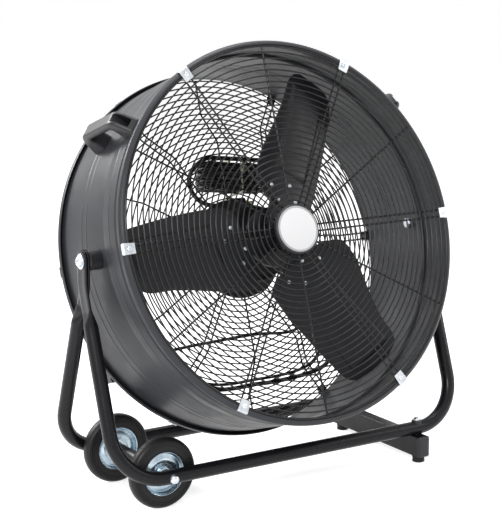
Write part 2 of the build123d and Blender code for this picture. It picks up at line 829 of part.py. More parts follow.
with BuildPart() as hub_spider:
    with BuildSketch(drum.offset(rotor_depth + hub_rear)):
        Circle(hub_radius)
    extrude(amount=hub_front - hub_rear)
    with BuildSketch(drum.offset(rotor_depth + hub_rear)):
        Circle(hub_disc_radius)
    extrude(amount=hub_disc_thickness)
    for angle in blade_angles:
        with BuildSketch(spoke_plane(angle, hub_radius / 2, rotor_depth)):
            add(curved_strip(blade_sheet, arm_sheet, arm_half))
        extrude(amount=arm_reach - hub_radius / 2)
    with BuildSketch(drum.offset(rotor_depth + hub_rear)):
        Circle(shaft_diameter / 2)
    extrude(amount=hub_front - hub_rear, both=True, mode=Mode.SUBTRACT)
keep(hub_spider, "hub_spider")
print("rotor done")

# ---- switch box behind the rear rim, lower left ----
box_x = (shell_radius - box_inset) * cos(radians(box_angle))
box_up = (shell_radius - box_inset) * sin(radians(box_angle))
box_centre = Plane(
    origin=in_drum(box_x, box_up, -drum_rear), x_dir=drum.x_dir, z_dir=outlet * -1
)
with BuildPart() as switch_box:
    with BuildSketch(box_centre):
        RectangleRounded(box_length, box_height, box_wall * 2)
    extrude(amount=box_depth)
    with BuildSketch(box_centre.offset(box_wall)):
        Rectangle(box_length - 2 * box_wall, box_height - 2 * box_wall)
    extrude(amount=box_depth, mode=Mode.SUBTRACT)
keep(switch_box, "switch_box")

with BuildPart() as switch_lid:
    with BuildSketch(box_centre.offset(box_depth)):
        RectangleRounded(box_length, box_height, box_wall * 2)
        Circle(spindle_diameter / 2 + running_gap, mode=Mode.SUBTRACT)
    extrude(amount=lid_thickness)
keep(switch_lid, "switch_lid")

lid_face = box_centre.offset(box_depth + lid_thickness)
with BuildPart() as speed_knob:
    with BuildSketch(lid_face.offset(seat_gap)):
        RegularPolygon(knob_diameter / 2, knob_sides)
    extrude(amount=knob_base_height)
    with BuildSketch(lid_face.offset(seat_gap)):
        SlotOverall(knob_bar_length, knob_bar_width, rotation=90)
    extrude(amount=knob_height)
    with BuildSketch(lid_face.offset(seat_gap)):
        Circle(spindle_diameter / 2)
    extrude(amount=-(seat_gap + lid_thickness + spindle_length))
keep(speed_knob, "speed_knob")

# ---- cords: routes as points (x, up, depth) in the drum's frame ----
box_right = box_x + box_length / 2
gland_up = box_up - gland_drop
gland_depth = -drum_rear - box_depth / 2
gland_plane = Plane(
    origin=in_drum(box_right, gland_up, gland_depth), x_dir=outlet, z_dir=drum.x_dir
)
with BuildPart() as cord_gland:
    with BuildSketch(gland_plane):
        RegularPolygon(gland_diameter / 2, knob_sides)
    extrude(amount=gland_length)
keep(cord_gland, "cord_gland")


def cord_tube(points, diameter, name):
    """A many-sided tube along straight runs joined by arcs as large as the runs allow."""
    corners = [in_drum(*point) for point in points]
    radii = []
    for before, corner, after in zip(corners, corners[1:], corners[2:]):
        shorter = min((corner - before).length, (after - corner).length)
        turn = (corner - before).get_angle(after - corner)
        radii.append(0.45 * shorter / tan(radians(turn / 2)))
    with BuildPart() as tube:
        with BuildLine():
            path = FilletPolyline(*corners, radius=radii)
        with BuildSketch(Plane(origin=path @ 0, z_dir=path % 0)):
            RegularPolygon(diameter / 2, cord_sides)
        sweep(path=path)
    print(name, "length", round(path.length), "least radius", round(min(radii), 1))
    section = 0.5 * cord_sides * (diameter / 2) ** 2 * sin(2 * pi / cord_sides)
    print(name, "volume by section and length", round(tube.part.volume / section / path.length, 4))
    keep(tube, name)


behind_rim = -drum_rear - cord_gap
cord_on_rim = behind_rim - cord_diameter / 2
lead_on_rim = behind_rim - lead_diameter / 2
lead_in_dish = behind_rim + dish_depth - lead_diameter / 2


def by_motor(angle, radius, depth):
    """A point of a route, beside the motor."""
    return radius * cos(radians(angle)), radius * sin(radians(angle)), depth


cord_tube(
    [
        (box_right, box_up + inner_lead_rise, gland_depth),
        (-180, box_up + inner_lead_rise, gland_depth),
        (-152, -165, lead_in_dish - 22),
        (-112, -163, lead_in_dish - 6),
        (-62, -162, lead_in_dish),
        (-14, -160, lead_in_dish),
        (34, -161, lead_in_dish),
        (81, -167, lead_in_dish - 3),
        (122, -160, lead_in_dish - 9),
        (138, -122, lead_in_dish - 6),
        (124, -80, lead_in_dish),
        by_motor(-29, 100, lead_in_dish - 5),
        by_motor(-29, rear_bell_radius, lead_in_dish - 5),
    ],
    lead_diameter,
    "motor_lead_inner",
)
cord_tube(
    [
        (box_right, box_up + outer_lead_rise, gland_depth),
        (-178, box_up + outer_lead_rise, gland_depth),
        (-140, -203, lead_on_rim - 6),
        (-102, -229, lead_on_rim),
        (-62, -240.5, lead_on_rim),
        (-22, -243, lead_on_rim),
        (16, -241.5, lead_on_rim),
        (70, -242.5, lead_on_rim),
        (125, -238.5, lead_on_rim),
        (167, -222, lead_on_rim),
        (188, -180, lead_on_rim),
        (178, -132, lead_on_rim + 5),
        (150, -84, lead_on_rim + 21),
        by_motor(-16, 112, lead_on_rim + 28),
        by_motor(-16, rear_bell_radius, lead_on_rim + 28),
    ],
    lead_diameter,
    "motor_lead_outer",
)

# the hank's frame: x along its runs, y up its stack, z towards the outlet
hank_depth = behind_rim + dish_depth - cord_gap - tie_thickness - cord_diameter / 2
hank = Plane(
    origin=in_drum(hank_x, hank_up, hank_depth),
    x_dir=drum.x_dir * cos(radians(hank_slope)) + drum.y_dir * sin(radians(hank_slope)),
    z_dir=outlet,
)
hank_half = hank_straight / 2 + hank_fold_radius
fold_width = 2 * hank_fold_radius + fold_flat
hank_points = [(hank_half - hank_fold_radius, -(hank_turns - 1) / 2 * hank_pitch, 0)]
for turn in range(hank_turns - 1):
    low = (turn - (hank_turns - 1) / 2) * hank_pitch
    hank_points += [
        (-hank_half, low, 0),
        (-hank_half, low, -fold_width),
        (hank_half, low + hank_pitch, -fold_width),
        (hank_half, low + hank_pitch, 0),
    ]
hank_points.append((-hank_straight / 2, (hank_turns - 1) / 2 * hank_pitch, 0))
with BuildPart() as cord_hank:
    with BuildLine():
        hank_path = FilletPolyline(
            *[hank.from_local_coords(Vector(*point)) for point in hank_points],
            radius=hank_fold_radius,
        )
    with BuildSketch(Plane(origin=hank_path @ 0, z_dir=hank_path % 0)):
        RegularPolygon(cord_diameter / 2, cord_sides)
    sweep(path=hank_path)
keep(cord_hank, "cord_hank")
samples = [hank_path.position_at(i / 2000) for i in range(2001)]
skip = round(2000 * 4 * cord_diameter / hank_path.length)
least = min(
    (samples[i] - samples[j]).length for i in range(0, 2001, 8) for j in range(i + skip, 2001, 2)
)
print("hank length", round(hank_path.length), "least gap to itself", round(least - cord_diameter, 2))

hank_start = drum.to_local_coords(hank_path @ 0)
hank_end = drum.to_local_coords(hank_path @ 1)
run_points = [
    (box_right + gland_length, gland_up, gland_depth),
    (-166, gland_up, gland_depth),
    (-142, -218, cord_on_rim - 6),
    (-104, -241, cord_on_rim),
    (-62, -249.5, cord_on_rim),
    (-22, -252, cord_on_rim),
    (16, -250, cord_on_rim),
    (54, -252, cord_on_rim),
    (100, -250.5, cord_on_rim),
    (147, -247, cord_on_rim),
    (190, -236, cord_on_rim),
    (216, -200, cord_on_rim),
    (214, -150, cord_on_rim),
    (202, -98, cord_on_rim + 1),
    (190, -44, cord_on_rim + 14),
    (183, 10, cord_on_rim + 22),
    (186, 52, cord_on_rim + 27),
    (172, 92, cord_on_rim + 32),
    tuple(drum.to_local_coords((hank_path % 0) * -hank_lead_in + (hank_path @ 0))),
    tuple(hank_start),
]
cord_tube(run_points, cord_diameter, "cord_run")

plug_depth = hank_depth - plug_set_back
tail_points = [
    tuple(hank_end),
    tuple(drum.to_local_coords((hank_path % 1) * hank_lead_out + (hank_path @ 1))),
    (-66, 150, hank_depth - 4),
    (-64, 112, hank_depth - 8),
    (-32, plug_up, plug_depth),
    (plug_x, plug_up, plug_depth),
]
cord_tube(tail_points, cord_diameter, "cord_tail")

plug_plane = Plane(
    origin=in_drum(plug_x, plug_up, plug_depth), x_dir=drum.y_dir, z_dir=drum.x_dir
)
with BuildPart() as cord_plug:
    with BuildSketch(plug_plane):
        Rectangle(plug_neck_height, plug_neck_width)
        chamfer(vertices(), length=plug_chamfer)
    extrude(amount=plug_length)
    with BuildSketch(plug_plane.offset(plug_neck_length)):
        Rectangle(plug_height, plug_width)
        chamfer(vertices(), length=plug_chamfer)
    extrude(amount=plug_length - plug_neck_length)
keep(cord_plug, "cord_plug")

tie_plane = Plane(
    origin=hank.from_local_coords(Vector(tie_offset, 0, -fold_width / 2)),
    x_dir=hank.z_dir,
    z_dir=hank.x_dir,
)
tie_inner_width = fold_width + cord_diameter + 2 * cord_gap
tie_inner_height = (hank_turns - 1) * hank_pitch + cord_diameter + 2 * cord_gap
with BuildPart() as cord_tie:
    with BuildSketch(tie_plane):
        Rectangle(tie_inner_width + 2 * tie_thickness, tie_inner_height + 2 * tie_thickness)
        Rectangle(tie_inner_width, tie_inner_height, mode=Mode.SUBTRACT)
    extrude(amount=tie_width / 2, both=True)
keep(cord_tie, "cord_tie")
print("cords done")
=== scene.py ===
# Drum fan on a wheeled tube stand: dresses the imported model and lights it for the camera.
# Lengths are in millimetres in the shapes below, and place() and swept() turn them into metres.
import json
import math

import bmesh
import bpy
import numpy as np
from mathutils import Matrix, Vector

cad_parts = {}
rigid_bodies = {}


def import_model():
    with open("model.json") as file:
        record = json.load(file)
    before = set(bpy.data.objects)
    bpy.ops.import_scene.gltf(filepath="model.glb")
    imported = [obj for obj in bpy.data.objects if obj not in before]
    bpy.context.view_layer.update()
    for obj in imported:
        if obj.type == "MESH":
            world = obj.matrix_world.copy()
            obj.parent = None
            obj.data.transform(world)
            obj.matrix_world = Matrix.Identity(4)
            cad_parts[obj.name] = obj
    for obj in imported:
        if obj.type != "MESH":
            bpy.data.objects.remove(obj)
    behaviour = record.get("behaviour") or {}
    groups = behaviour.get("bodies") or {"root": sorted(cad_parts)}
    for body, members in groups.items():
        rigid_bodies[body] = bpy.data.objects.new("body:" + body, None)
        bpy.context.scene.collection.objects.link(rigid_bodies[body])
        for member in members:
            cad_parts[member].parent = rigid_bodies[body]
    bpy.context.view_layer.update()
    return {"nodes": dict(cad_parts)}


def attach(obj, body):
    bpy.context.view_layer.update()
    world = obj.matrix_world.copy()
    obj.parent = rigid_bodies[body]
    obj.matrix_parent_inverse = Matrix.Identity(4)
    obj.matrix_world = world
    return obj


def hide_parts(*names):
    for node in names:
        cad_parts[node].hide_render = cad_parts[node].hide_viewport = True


for leftover in list(bpy.data.objects):
    bpy.data.objects.remove(leftover)
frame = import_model()


# frames: an origin and three square directions. The drum leans back about its two side pivots.
drumSeat = dict(tilt=18.73, pivotY=-17.284, pivotZ=427.2)
tilt = math.radians(drumSeat["tilt"])
pivot = np.array([0.0, drumSeat["pivotY"], drumSeat["pivotZ"]])
xWay, yWay, zWay = np.eye(3)
upWay = np.array([0.0, math.sin(tilt), math.cos(tilt)])
outWay = np.array([0.0, -math.cos(tilt), math.sin(tilt)])
drumFrame = (pivot, xWay, upWay, outWay)


# lengths go out along a frame's three directions from its origin
def spotIn(spot, x, y, z):
    x, y, z = np.broadcast_arrays(x, y, z)
    origin, a, b, c = spot
    return origin + x[..., None] * a + y[..., None] * b + z[..., None] * c


# the same in metres, as a mesh takes it
def place(spot, x, y, z):
    return spotIn(spot, x, y, z) / 1000


# a frame on the drum at an angle round it: x runs round the drum, y towards the outlet, z outwards
def spokeFrame(angle, radius, depth):
    out = xWay * math.cos(math.radians(angle)) + upWay * math.sin(math.radians(angle))
    return (pivot + out * radius + outWay * depth, np.cross(outWay, out), outWay, out)


def fullTurn(count):
    return np.linspace(0, 2 * math.pi, count, endpoint=False)


# grid points nearer to each other than this, in metres, become one
weldWithin = 0.000005


# each little square of a grid joins four neighbours, and a wrapped side joins back to its start
def gridFaces(rows, columns, wrapRows, wrapColumns):
    index = np.arange(rows * columns).reshape(rows, columns)
    if wrapRows:
        index = np.vstack([index, index[:1]])
    if wrapColumns:
        index = np.hstack([index, index[:, :1]])
    corners = [index[:-1, :-1], index[1:, :-1], index[1:, 1:], index[:-1, 1:]]
    return np.stack(corners, axis=-1).reshape(-1, 4)


def makePiece(name, skins, material, body="drum", replaces=(), sharp=40, solid=True):
    # a skin is (grid, wrapRows, wrapColumns, caps), and caps closes the ends of a wrapped grid
    points = []
    faces = []
    start = 0
    for grid, wrapRows, wrapColumns, caps in skins:
        rows, columns = grid.shape[:2]
        points.append(grid.reshape(-1, 3))
        faces.extend((gridFaces(rows, columns, wrapRows, wrapColumns) + start).tolist())
        if caps:
            faces.append(list(range(start, start + columns)))
            faces.append(list(range(start + (rows - 1) * columns, start + rows * columns)))
        start += rows * columns
    mesh = bpy.data.meshes.new(name)
    mesh.from_pydata(np.vstack(points).tolist(), [], faces)
    work = bmesh.new()
    work.from_mesh(mesh)
    bmesh.ops.remove_doubles(work, verts=work.verts, dist=weldWithin)
    if solid:
        bmesh.ops.recalc_face_normals(work, faces=work.faces)
    work.to_mesh(mesh)
    work.free()
    mesh.shade_smooth()
    mesh.set_sharp_from_angle(angle=math.radians(sharp))
    piece = bpy.data.objects.new(name, mesh)
    bpy.context.scene.collection.objects.link(piece)
    mesh.materials.append(material)
    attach(piece, body)
    if replaces:
        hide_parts(*replaces)
    return piece


# turning: radius r and height h go to (r cos a, r sin a, h) as the angle a runs round
def turned(spot, profile, count):
    profile = np.asarray(profile, float)
    angle = fullTurn(count)
    radius, height = profile[:, :1], profile[:, 1:]
    return (place(spot, radius * np.cos(angle), radius * np.sin(angle), height), False, True, False)


# the same for an outline whose end runs back to its start
def turnedLoop(spot, loop, count):
    return (turned(spot, loop, count)[0], True, True, False)


def closed(points):
    return points + points[:1]


# a wire ring: the angle u runs round the ring and v round the wire, radius R + r cos v, height h + r sin v
def wireRing(spot, radius, height, wire, count=168, sides=8):
    u, v = fullTurn(count)[:, None], fullTurn(sides)
    reach = radius + wire / 2 * np.cos(v)
    grid = place(spot, reach * np.cos(u), reach * np.sin(u), height + wire / 2 * np.sin(v))
    return (grid, True, True, False)


# a section carried along a path: the path's point plus two offsets along two directions square to it
def swept(path, section, reference, caps=True, loop=False):
    path = np.asarray(path, float)
    if loop:
        along = np.roll(path, -1, axis=0) - np.roll(path, 1, axis=0)
    else:
        along = np.gradient(path, axis=0)
    along /= np.linalg.norm(along, axis=1)[:, None]
    first = reference - (along @ reference)[:, None] * along
    first /= np.linalg.norm(first, axis=1)[:, None]
    second = np.cross(along, first)
    section = np.broadcast_to(section, (len(path),) + np.shape(section)[-2:])
    grid = path[:, None] + section[..., :1] * first[:, None] + section[..., 1:] * second[:, None]
    return (grid / 1000, loop, True, caps and not loop)


# a round section: r cos a and r sin a
def roundSection(diameter, sides):
    angle = fullTurn(sides)
    return np.stack([diameter / 2 * np.cos(angle), diameter / 2 * np.sin(angle)], axis=-1)


# a squared-off round section: each of cos and sin is raised to a power under one, and keeps its sign
def boxySection(width, height, power, sides):
    angle = fullTurn(sides) + math.pi / sides
    x = np.sign(np.cos(angle)) * np.abs(np.cos(angle)) ** power * width / 2
    y = np.sign(np.sin(angle)) * np.abs(np.sin(angle)) ** power * height / 2
    return np.stack([x, y], axis=-1)


# a line with rounded corners: at each corner a quadratic curve runs from one run to the next
def softLine(points, radius, steps=6):
    points = np.asarray(points, float)
    radii = np.broadcast_to(radius, len(points) - 2)
    line = [points[:1]]
    t = np.linspace(0, 1, steps)[:, None]
    for before, corner, after, reach in zip(points, points[1:], points[2:], radii):
        back = (before - corner) / np.linalg.norm(before - corner)
        ahead = (after - corner) / np.linalg.norm(after - corner)
        a, b = corner + back * reach, corner + ahead * reach
        line.append((1 - t) ** 2 * a + 2 * t * (1 - t) * corner + t ** 2 * b)
    line.append(points[-1:])
    return np.vstack(line)


# a sheet's edge view: a line moved half the thickness to both sides along its normals, as a closed loop
def sheetLoop(line, thickness):
    along = np.gradient(line, axis=0)
    along /= np.linalg.norm(along, axis=1)[:, None]
    normal = np.stack([-along[:, 1], along[:, 0]], axis=1) * thickness / 2
    return np.vstack([line + normal, (line - normal)[::-1]])


# a share that leaves nought and reaches one gently: 3 s squared less 2 s cubed
def eased(share):
    share = np.clip(share, 0, 1)
    return share * share * (3 - 2 * share)


# materials: each pattern reads Object coordinates
def addNode(tree, kind, settings=None, feeds=None):
    # a node with sockets set to values and sockets fed by other nodes
    node = tree.nodes.new("ShaderNode" + kind)
    for socket, value in (settings or {}).items():
        node.inputs[socket].default_value = value
    for socket, source in (feeds or {}).items():
        tree.links.new(source, node.inputs[socket])
    return node


def newMaterial(name, colour, roughness, metallic=0.0):
    material = bpy.data.materials.new(name)
    material.use_nodes = True
    tree = material.node_tree
    shader = tree.nodes["Principled BSDF"]
    shader.inputs["Base Color"].default_value = (*colour, 1)
    shader.inputs["Roughness"].default_value = roughness
    shader.inputs["Metallic"].default_value = metallic
    return material, tree, shader, addNode(tree, "TexCoord").outputs["Object"]


def noiseFrom(tree, source, scale, detail):
    noise = addNode(tree, "TexNoise", {"Scale": scale, "Detail": detail}, {"Vector": source})
    return noise.outputs["Fac"]


# a noise's middle values run from the dark shade to the light one
def shadeBetween(tree, amount, shader, dark, light):
    ramp = addNode(tree, "ValToRGB", feeds={"Fac": amount})
    for element, position, shade in zip(ramp.color_ramp.elements, (0.35, 0.65), (dark, light)):
        element.position = position
        element.color = (*shade, 1)
    tree.links.new(ramp.outputs["Color"], shader.inputs["Base Color"])


# the gloss runs as far under and over the given roughness as the noise's middle values do
def roughBetween(tree, amount, shader, roughness, under, over):
    ends = {"From Min": 0.3, "From Max": 0.7, "To Min": roughness - under, "To Max": roughness + over}
    spread = addNode(tree, "MapRange", ends, {"Value": amount})
    tree.links.new(spread.outputs["Result"], shader.inputs["Roughness"])


def bumpFrom(tree, amount, shader, strength, distance, under=None):
    bump = addNode(tree, "Bump", {"Strength": strength, "Distance": distance}, {"Height": amount})
    if under:
        tree.links.new(under.outputs["Normal"], bump.inputs["Normal"])
    tree.links.new(bump.outputs["Normal"], shader.inputs["Normal"])
    return bump


def coatedSteel(name, look):
    # sprayed paint: orange peel in the bump, slow drifts of tone, faint dust in the gloss
    material, tree, shader, source = newMaterial(name, look["colour"], look["roughness"])
    shader.inputs["Specular IOR Level"].default_value = look["shine"]
    dark = [part * (1 - look["drift"]) for part in look["colour"]]
    light = [part * (1 + look["drift"]) for part in look["colour"]]
    drift = noiseFrom(tree, source, look["driftScale"], detail=3)
    shadeBetween(tree, drift, shader, dark, light)
    dust = noiseFrom(tree, source, look["dustScale"], detail=5)
    roughBetween(tree, dust, shader, look["roughness"], under=0.05, over=0.07)
    peel = noiseFrom(tree, source, look["peelScale"], detail=2)
    wave = bumpFrom(tree, peel, shader, look["peel"], distance=0.0004)
    grit = noiseFrom(tree, source, look["peelScale"] * 5, detail=1)
    bumpFrom(tree, grit, shader, look["peel"] * 0.5, distance=0.0001, under=wave)
    return material


drumPaint = coatedSteel("drumPaint", dict(
    colour=(0.038, 0.039, 0.044), roughness=0.38, shine=0.24, drift=0.10, driftScale=7,
    dustScale=30, peelScale=420, peel=0.12))
standPaint = coatedSteel("standPaint", dict(
    colour=(0.008, 0.008, 0.010), roughness=0.28, shine=0.22, drift=0.12, driftScale=9,
    dustScale=40, peelScale=500, peel=0.16))
wirePaint = coatedSteel("wirePaint", dict(
    colour=(0.005, 0.005, 0.006), roughness=0.20, shine=0.38, drift=0.10, driftScale=14,
    dustScale=60, peelScale=700, peel=0.10))
bladePaint = coatedSteel("bladePaint", dict(
    colour=(0.012, 0.012, 0.015), roughness=0.34, shine=0.34, drift=0.16, driftScale=10,
    dustScale=25, peelScale=450, peel=0.14))
motorPaint = coatedSteel("motorPaint", dict(
    colour=(0.010, 0.010, 0.012), roughness=0.42, shine=0.42, drift=0.15, driftScale=16,
    dustScale=50, peelScale=380, peel=0.2))


def platedSteel(name, look):
    # zinc plate: bright and a little blue, with cloudy passivation and fine rolled streaks
    material, tree, shader, source = newMaterial(name, look["colour"], look["roughness"], 1.0)
    cloud = noiseFrom(tree, source, look["cloudScale"], detail=4)
    shadeBetween(tree, cloud, shader, look["dull"], look["colour"])
    drawn = addNode(tree, "Mapping", {"Scale": (1, 1, 14)}, {"Vector": source})
    streak = noiseFrom(tree, drawn.outputs["Vector"], scale=90, detail=3)
    roughBetween(tree, streak, shader, look["roughness"], under=0.08, over=0.12)
    bumpFrom(tree, streak, shader, look["streak"], distance=0.0002)
    return material


zincPlate = platedSteel("zincPlate", dict(
    colour=(0.74, 0.77, 0.80), dull=(0.50, 0.54, 0.58), roughness=0.30, cloudScale=60, streak=0.08))
wheelZinc = platedSteel("wheelZinc", dict(
    colour=(0.62, 0.72, 0.79), dull=(0.34, 0.44, 0.51), roughness=0.26, cloudScale=45, streak=0.12))
darkSteel = platedSteel("darkSteel", dict(
    colour=(0.075, 0.075, 0.080), dull=(0.040, 0.040, 0.044), roughness=0.34, cloudScale=70, streak=0.1))
shaftSteel = platedSteel("shaftSteel", dict(
    colour=(0.52, 0.51, 0.50), dull=(0.34, 0.33, 0.32), roughness=0.38, cloudScale=80, streak=0.2))


def mouldedStuff(name, look):
    # moulded plastic or rubber: a cell-like grain in the bump and a little bloom in tone and gloss
    material, tree, shader, source = newMaterial(name, look["colour"], look["roughness"])
    shader.inputs["Specular IOR Level"].default_value = look["shine"]
    bloom = noiseFrom(tree, source, look["bloomScale"], detail=4)
    shadeBetween(tree, bloom, shader, look["colour"], look["bloom"])
    roughBetween(tree, bloom, shader, look["roughness"], under=0.05, over=0.08)
    cells = addNode(tree, "TexVoronoi", {"Scale": look["grainScale"]}, {"Vector": source})
    bumpFrom(tree, cells.outputs["Distance"], shader, look["grain"], distance=0.0002)
    return material


blackPlastic = mouldedStuff("blackPlastic", dict(
    colour=(0.014, 0.014, 0.016), bloom=(0.020, 0.020, 0.023), roughness=0.40, shine=0.42,
    bloomScale=12, grainScale=1400, grain=0.18))
tyreRubber = mouldedStuff("tyreRubber", dict(
    colour=(0.006, 0.006, 0.007), bloom=(0.012, 0.011, 0.011), roughness=0.46, shine=0.3,
    bloomScale=22, grainScale=900, grain=0.12))
footRubber = mouldedStuff("footRubber", dict(
    colour=(0.008, 0.008, 0.009), bloom=(0.013, 0.013, 0.014), roughness=0.6, shine=0.3,
    bloomScale=30, grainScale=1100, grain=0.2))
cordJacket = mouldedStuff("cordJacket", dict(
    colour=(0.006, 0.006, 0.007), bloom=(0.010, 0.010, 0.011), roughness=0.5, shine=0.34,
    bloomScale=40, grainScale=1600, grain=0.1))
badgeWhite = mouldedStuff("badgeWhite", dict(
    colour=(0.84, 0.84, 0.85), bloom=(0.79, 0.79, 0.80), roughness=0.42, shine=0.3,
    bloomScale=10, grainScale=1800, grain=0.04))
badgeGrey = mouldedStuff("badgeGrey", dict(
    colour=(0.50, 0.50, 0.52), bloom=(0.44, 0.44, 0.46), roughness=0.36, shine=0.4,
    bloomScale=14, grainScale=1800, grain=0.05))
tiePaper = mouldedStuff("tiePaper", dict(
    colour=(0.72, 0.70, 0.60), bloom=(0.60, 0.58, 0.48), roughness=0.6, shine=0.3,
    bloomScale=60, grainScale=2500, grain=0.3))
printWhite = mouldedStuff("printWhite", dict(
    colour=(0.66, 0.66, 0.66), bloom=(0.58, 0.58, 0.58), roughness=0.5, shine=0.3,
    bloomScale=90, grainScale=2600, grain=0.1))
brass = platedSteel("brass", dict(
    colour=(0.62, 0.47, 0.20), dull=(0.45, 0.33, 0.14), roughness=0.3, cloudScale=90, streak=0.1))
print("materials made")

# camera
cameraLook = dict(azimuth=-32.63, elevation=11.24, lens=116.61, distance=3.15408,
                  target=(0.06014, 0.12229, 0.36440))
azimuth, elevation = math.radians(cameraLook["azimuth"]), math.radians(cameraLook["elevation"])
backWay = Vector((math.sin(azimuth) * math.cos(elevation), -math.cos(azimuth) * math.cos(elevation),
                  math.sin(elevation)))
cameraData = bpy.data.cameras.new("camera")
cameraData.lens = cameraLook["lens"]
cameraData.sensor_width = 36
camera = bpy.data.objects.new("camera", cameraData)
bpy.context.scene.collection.objects.link(camera)
camera.location = Vector(cameraLook["target"]) + backWay * cameraLook["distance"]
camera.rotation_mode = "QUATERNION"
camera.rotation_quaternion = (-backWay).to_track_quat("-Z", "Y")
bpy.context.scene.camera = camera
print("camera set")


# cords
def cordCurve(name, points, diameter):
    # a smooth open spline with the route's points as its control points
    curve = bpy.data.curves.new(name, "CURVE")
    curve.dimensions = "3D"
    spline = curve.splines.new("NURBS")
    spline.points.add(len(points) - 1)
    spline.points.foreach_set("co", np.hstack([points, np.ones((len(points), 1))]).ravel())
    spline.order_u = 3
    spline.use_endpoint_u = True
    curve.resolution_u = 14
    curve.bevel_depth = diameter / 2000
    curve.bevel_resolution = 4
    curve.use_fill_caps = True
    curve.materials.append(cordJacket)
    cord = bpy.data.objects.new(name, curve)
    bpy.context.scene.collection.objects.link(cord)
    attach(cord, "drum")
    return cord


def drumPoints(rows):
    return place(drumFrame, *np.array(rows, float).T)


plug = dict(x=2.0, up=86.0, depth=-120.55)
supplyCord = dict(
    diameter=8.5, onRim=-148.05, dishDepth=-108.55, length=2.92, hankCentre=(45.0, 139.5),
    hankSlope=-7.0, turns=6, pitch=11.4, straight=48.0, foldRadius=27.6, leadIn=32.0, leadOut=28.0,
    behind=7.2, climb=(0.0, 0.12, 0.34, 0.66, 0.88, 1.0))
rim, dish = supplyCord["onRim"], supplyCord["dishDepth"]
slope = math.radians(supplyCord["hankSlope"])
hankFrame = (spotIn(drumFrame, *supplyCord["hankCentre"], dish),
             xWay * math.cos(slope) + upWay * math.sin(slope),
             upWay * math.cos(slope) - xWay * math.sin(slope), outWay)
# across, up and depth on the drum: from the box along the guard's rim and up into its dish
runPoints = drumPoints([
    (-191, -192, -161), (-166, -192, -161), (-142, -218, rim - 6), (-104, -241, rim), (-62, -249.5, rim),
    (-22, -252, rim), (16, -250, rim), (54, -252, rim), (100, -250.5, rim), (147, -247, rim),
    (190, -236, rim), (216, -200, rim), (214, -150, rim), (202, -98, rim + 1), (190, -44, rim + 14),
    (183, 10, rim + 22), (186, 52, rim + 27), (172, 92, rim + 32)])
# the hank: each turn runs round one fold behind its strand and back round the other to the next strand.
# Half an octagon of points stands round each fold, with one more on each run as far from its corner.
low = (np.arange(supplyCord["turns"]) - (supplyCord["turns"] - 1) / 2) * supplyCord["pitch"]
straight, fold, rise = supplyCord["straight"], supplyCord["foldRadius"], supplyCord["pitch"]
behind, climb = supplyCord["behind"], supplyCord["climb"]
half = fold * math.tan(math.radians(22.5))
foldPoints = [(straight - half, 0), (straight + half, 0), (straight + fold, fold - half),
              (straight + fold, fold + half), (straight + half, 2 * fold), (straight - half, 2 * fold)]
hankLocal = [(straight + supplyCord["leadIn"], low[0], 0), (straight, low[0], 0)]
for level in low[:-1]:
    hankLocal += [(-x, level + behind * share, -back) for share, (x, back) in zip(climb, foldPoints)]
    hankLocal += [(x, level + behind + (rise - behind) * share, -back)
                  for share, (x, back) in zip(climb, reversed(foldPoints))]
hankLocal += [(-straight, low[-1], 0), (-straight - supplyCord["leadOut"], low[-1], 0)]
hankPoints = place(hankFrame, *np.array(hankLocal).T)
tailPoints = drumPoints([(-66, 150, dish - 4), (-64, 112, dish - 8), (-32, plug["up"], plug["depth"]),
                         (plug["x"], plug["up"], plug["depth"])])
supply = cordCurve("supply_cord", np.vstack([runPoints, hankPoints, tailPoints]), supplyCord["diameter"])
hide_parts("cord_run", "cord_hank", "cord_tail")

leads = dict(diameter=6.0, onRim=-146.8, inDish=-105.8, intoMotor=59, innerAngle=-29, outerAngle=-16)
rim, dish, inside = leads["onRim"], leads["inDish"], leads["intoMotor"]


# a point beside the motor: radius times cos and sin of the lead's angle
def byMotor(which, radius, depth):
    angle = math.radians(leads[which])
    return (radius * math.cos(angle), radius * math.sin(angle), depth)


innerLead = cordCurve("motor_lead_in", drumPoints([
    (-205, -168, -161), (-180, -168, -161), (-152, -165, dish - 22), (-112, -163, dish - 6),
    (-62, -162, dish), (-14, -160, dish), (34, -161, dish), (81, -167, dish - 3), (122, -160, dish - 9),
    (138, -122, dish - 6), (124, -80, dish), byMotor("innerAngle", 100, dish - 5),
    byMotor("innerAngle", inside, dish - 5)]), leads["diameter"])
outerLead = cordCurve("motor_lead_out", drumPoints([
    (-205, -178, -161), (-178, -178, -161), (-140, -203, rim - 6), (-102, -229, rim), (-62, -240.5, rim),
    (-22, -243, rim), (16, -241.5, rim), (70, -242.5, rim), (125, -238.5, rim), (167, -222, rim),
    (188, -180, rim), (178, -132, rim + 5), (150, -84, rim + 21), byMotor("outerAngle", 112, rim + 28),
    byMotor("outerAngle", inside, rim + 28)]), leads["diameter"])
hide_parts("motor_lead_inner")
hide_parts("motor_lead_outer")
print("cords laid")

# stand: two bent tubes with flattened upper ends
tube = dict(diameter=25.0, spacing=225.2, armX=361.0, bend=88.0, axleHeight=62.5, plateWidth=32.0,
            plateThickness=5.0, plateTop=20.0, plateBend=43.0, plateLow=81.0, flare=32.0, stagger=13.4,
            crown=16.0, valley=0.9, valleyHalf=5.5, valleyTop=34.0)


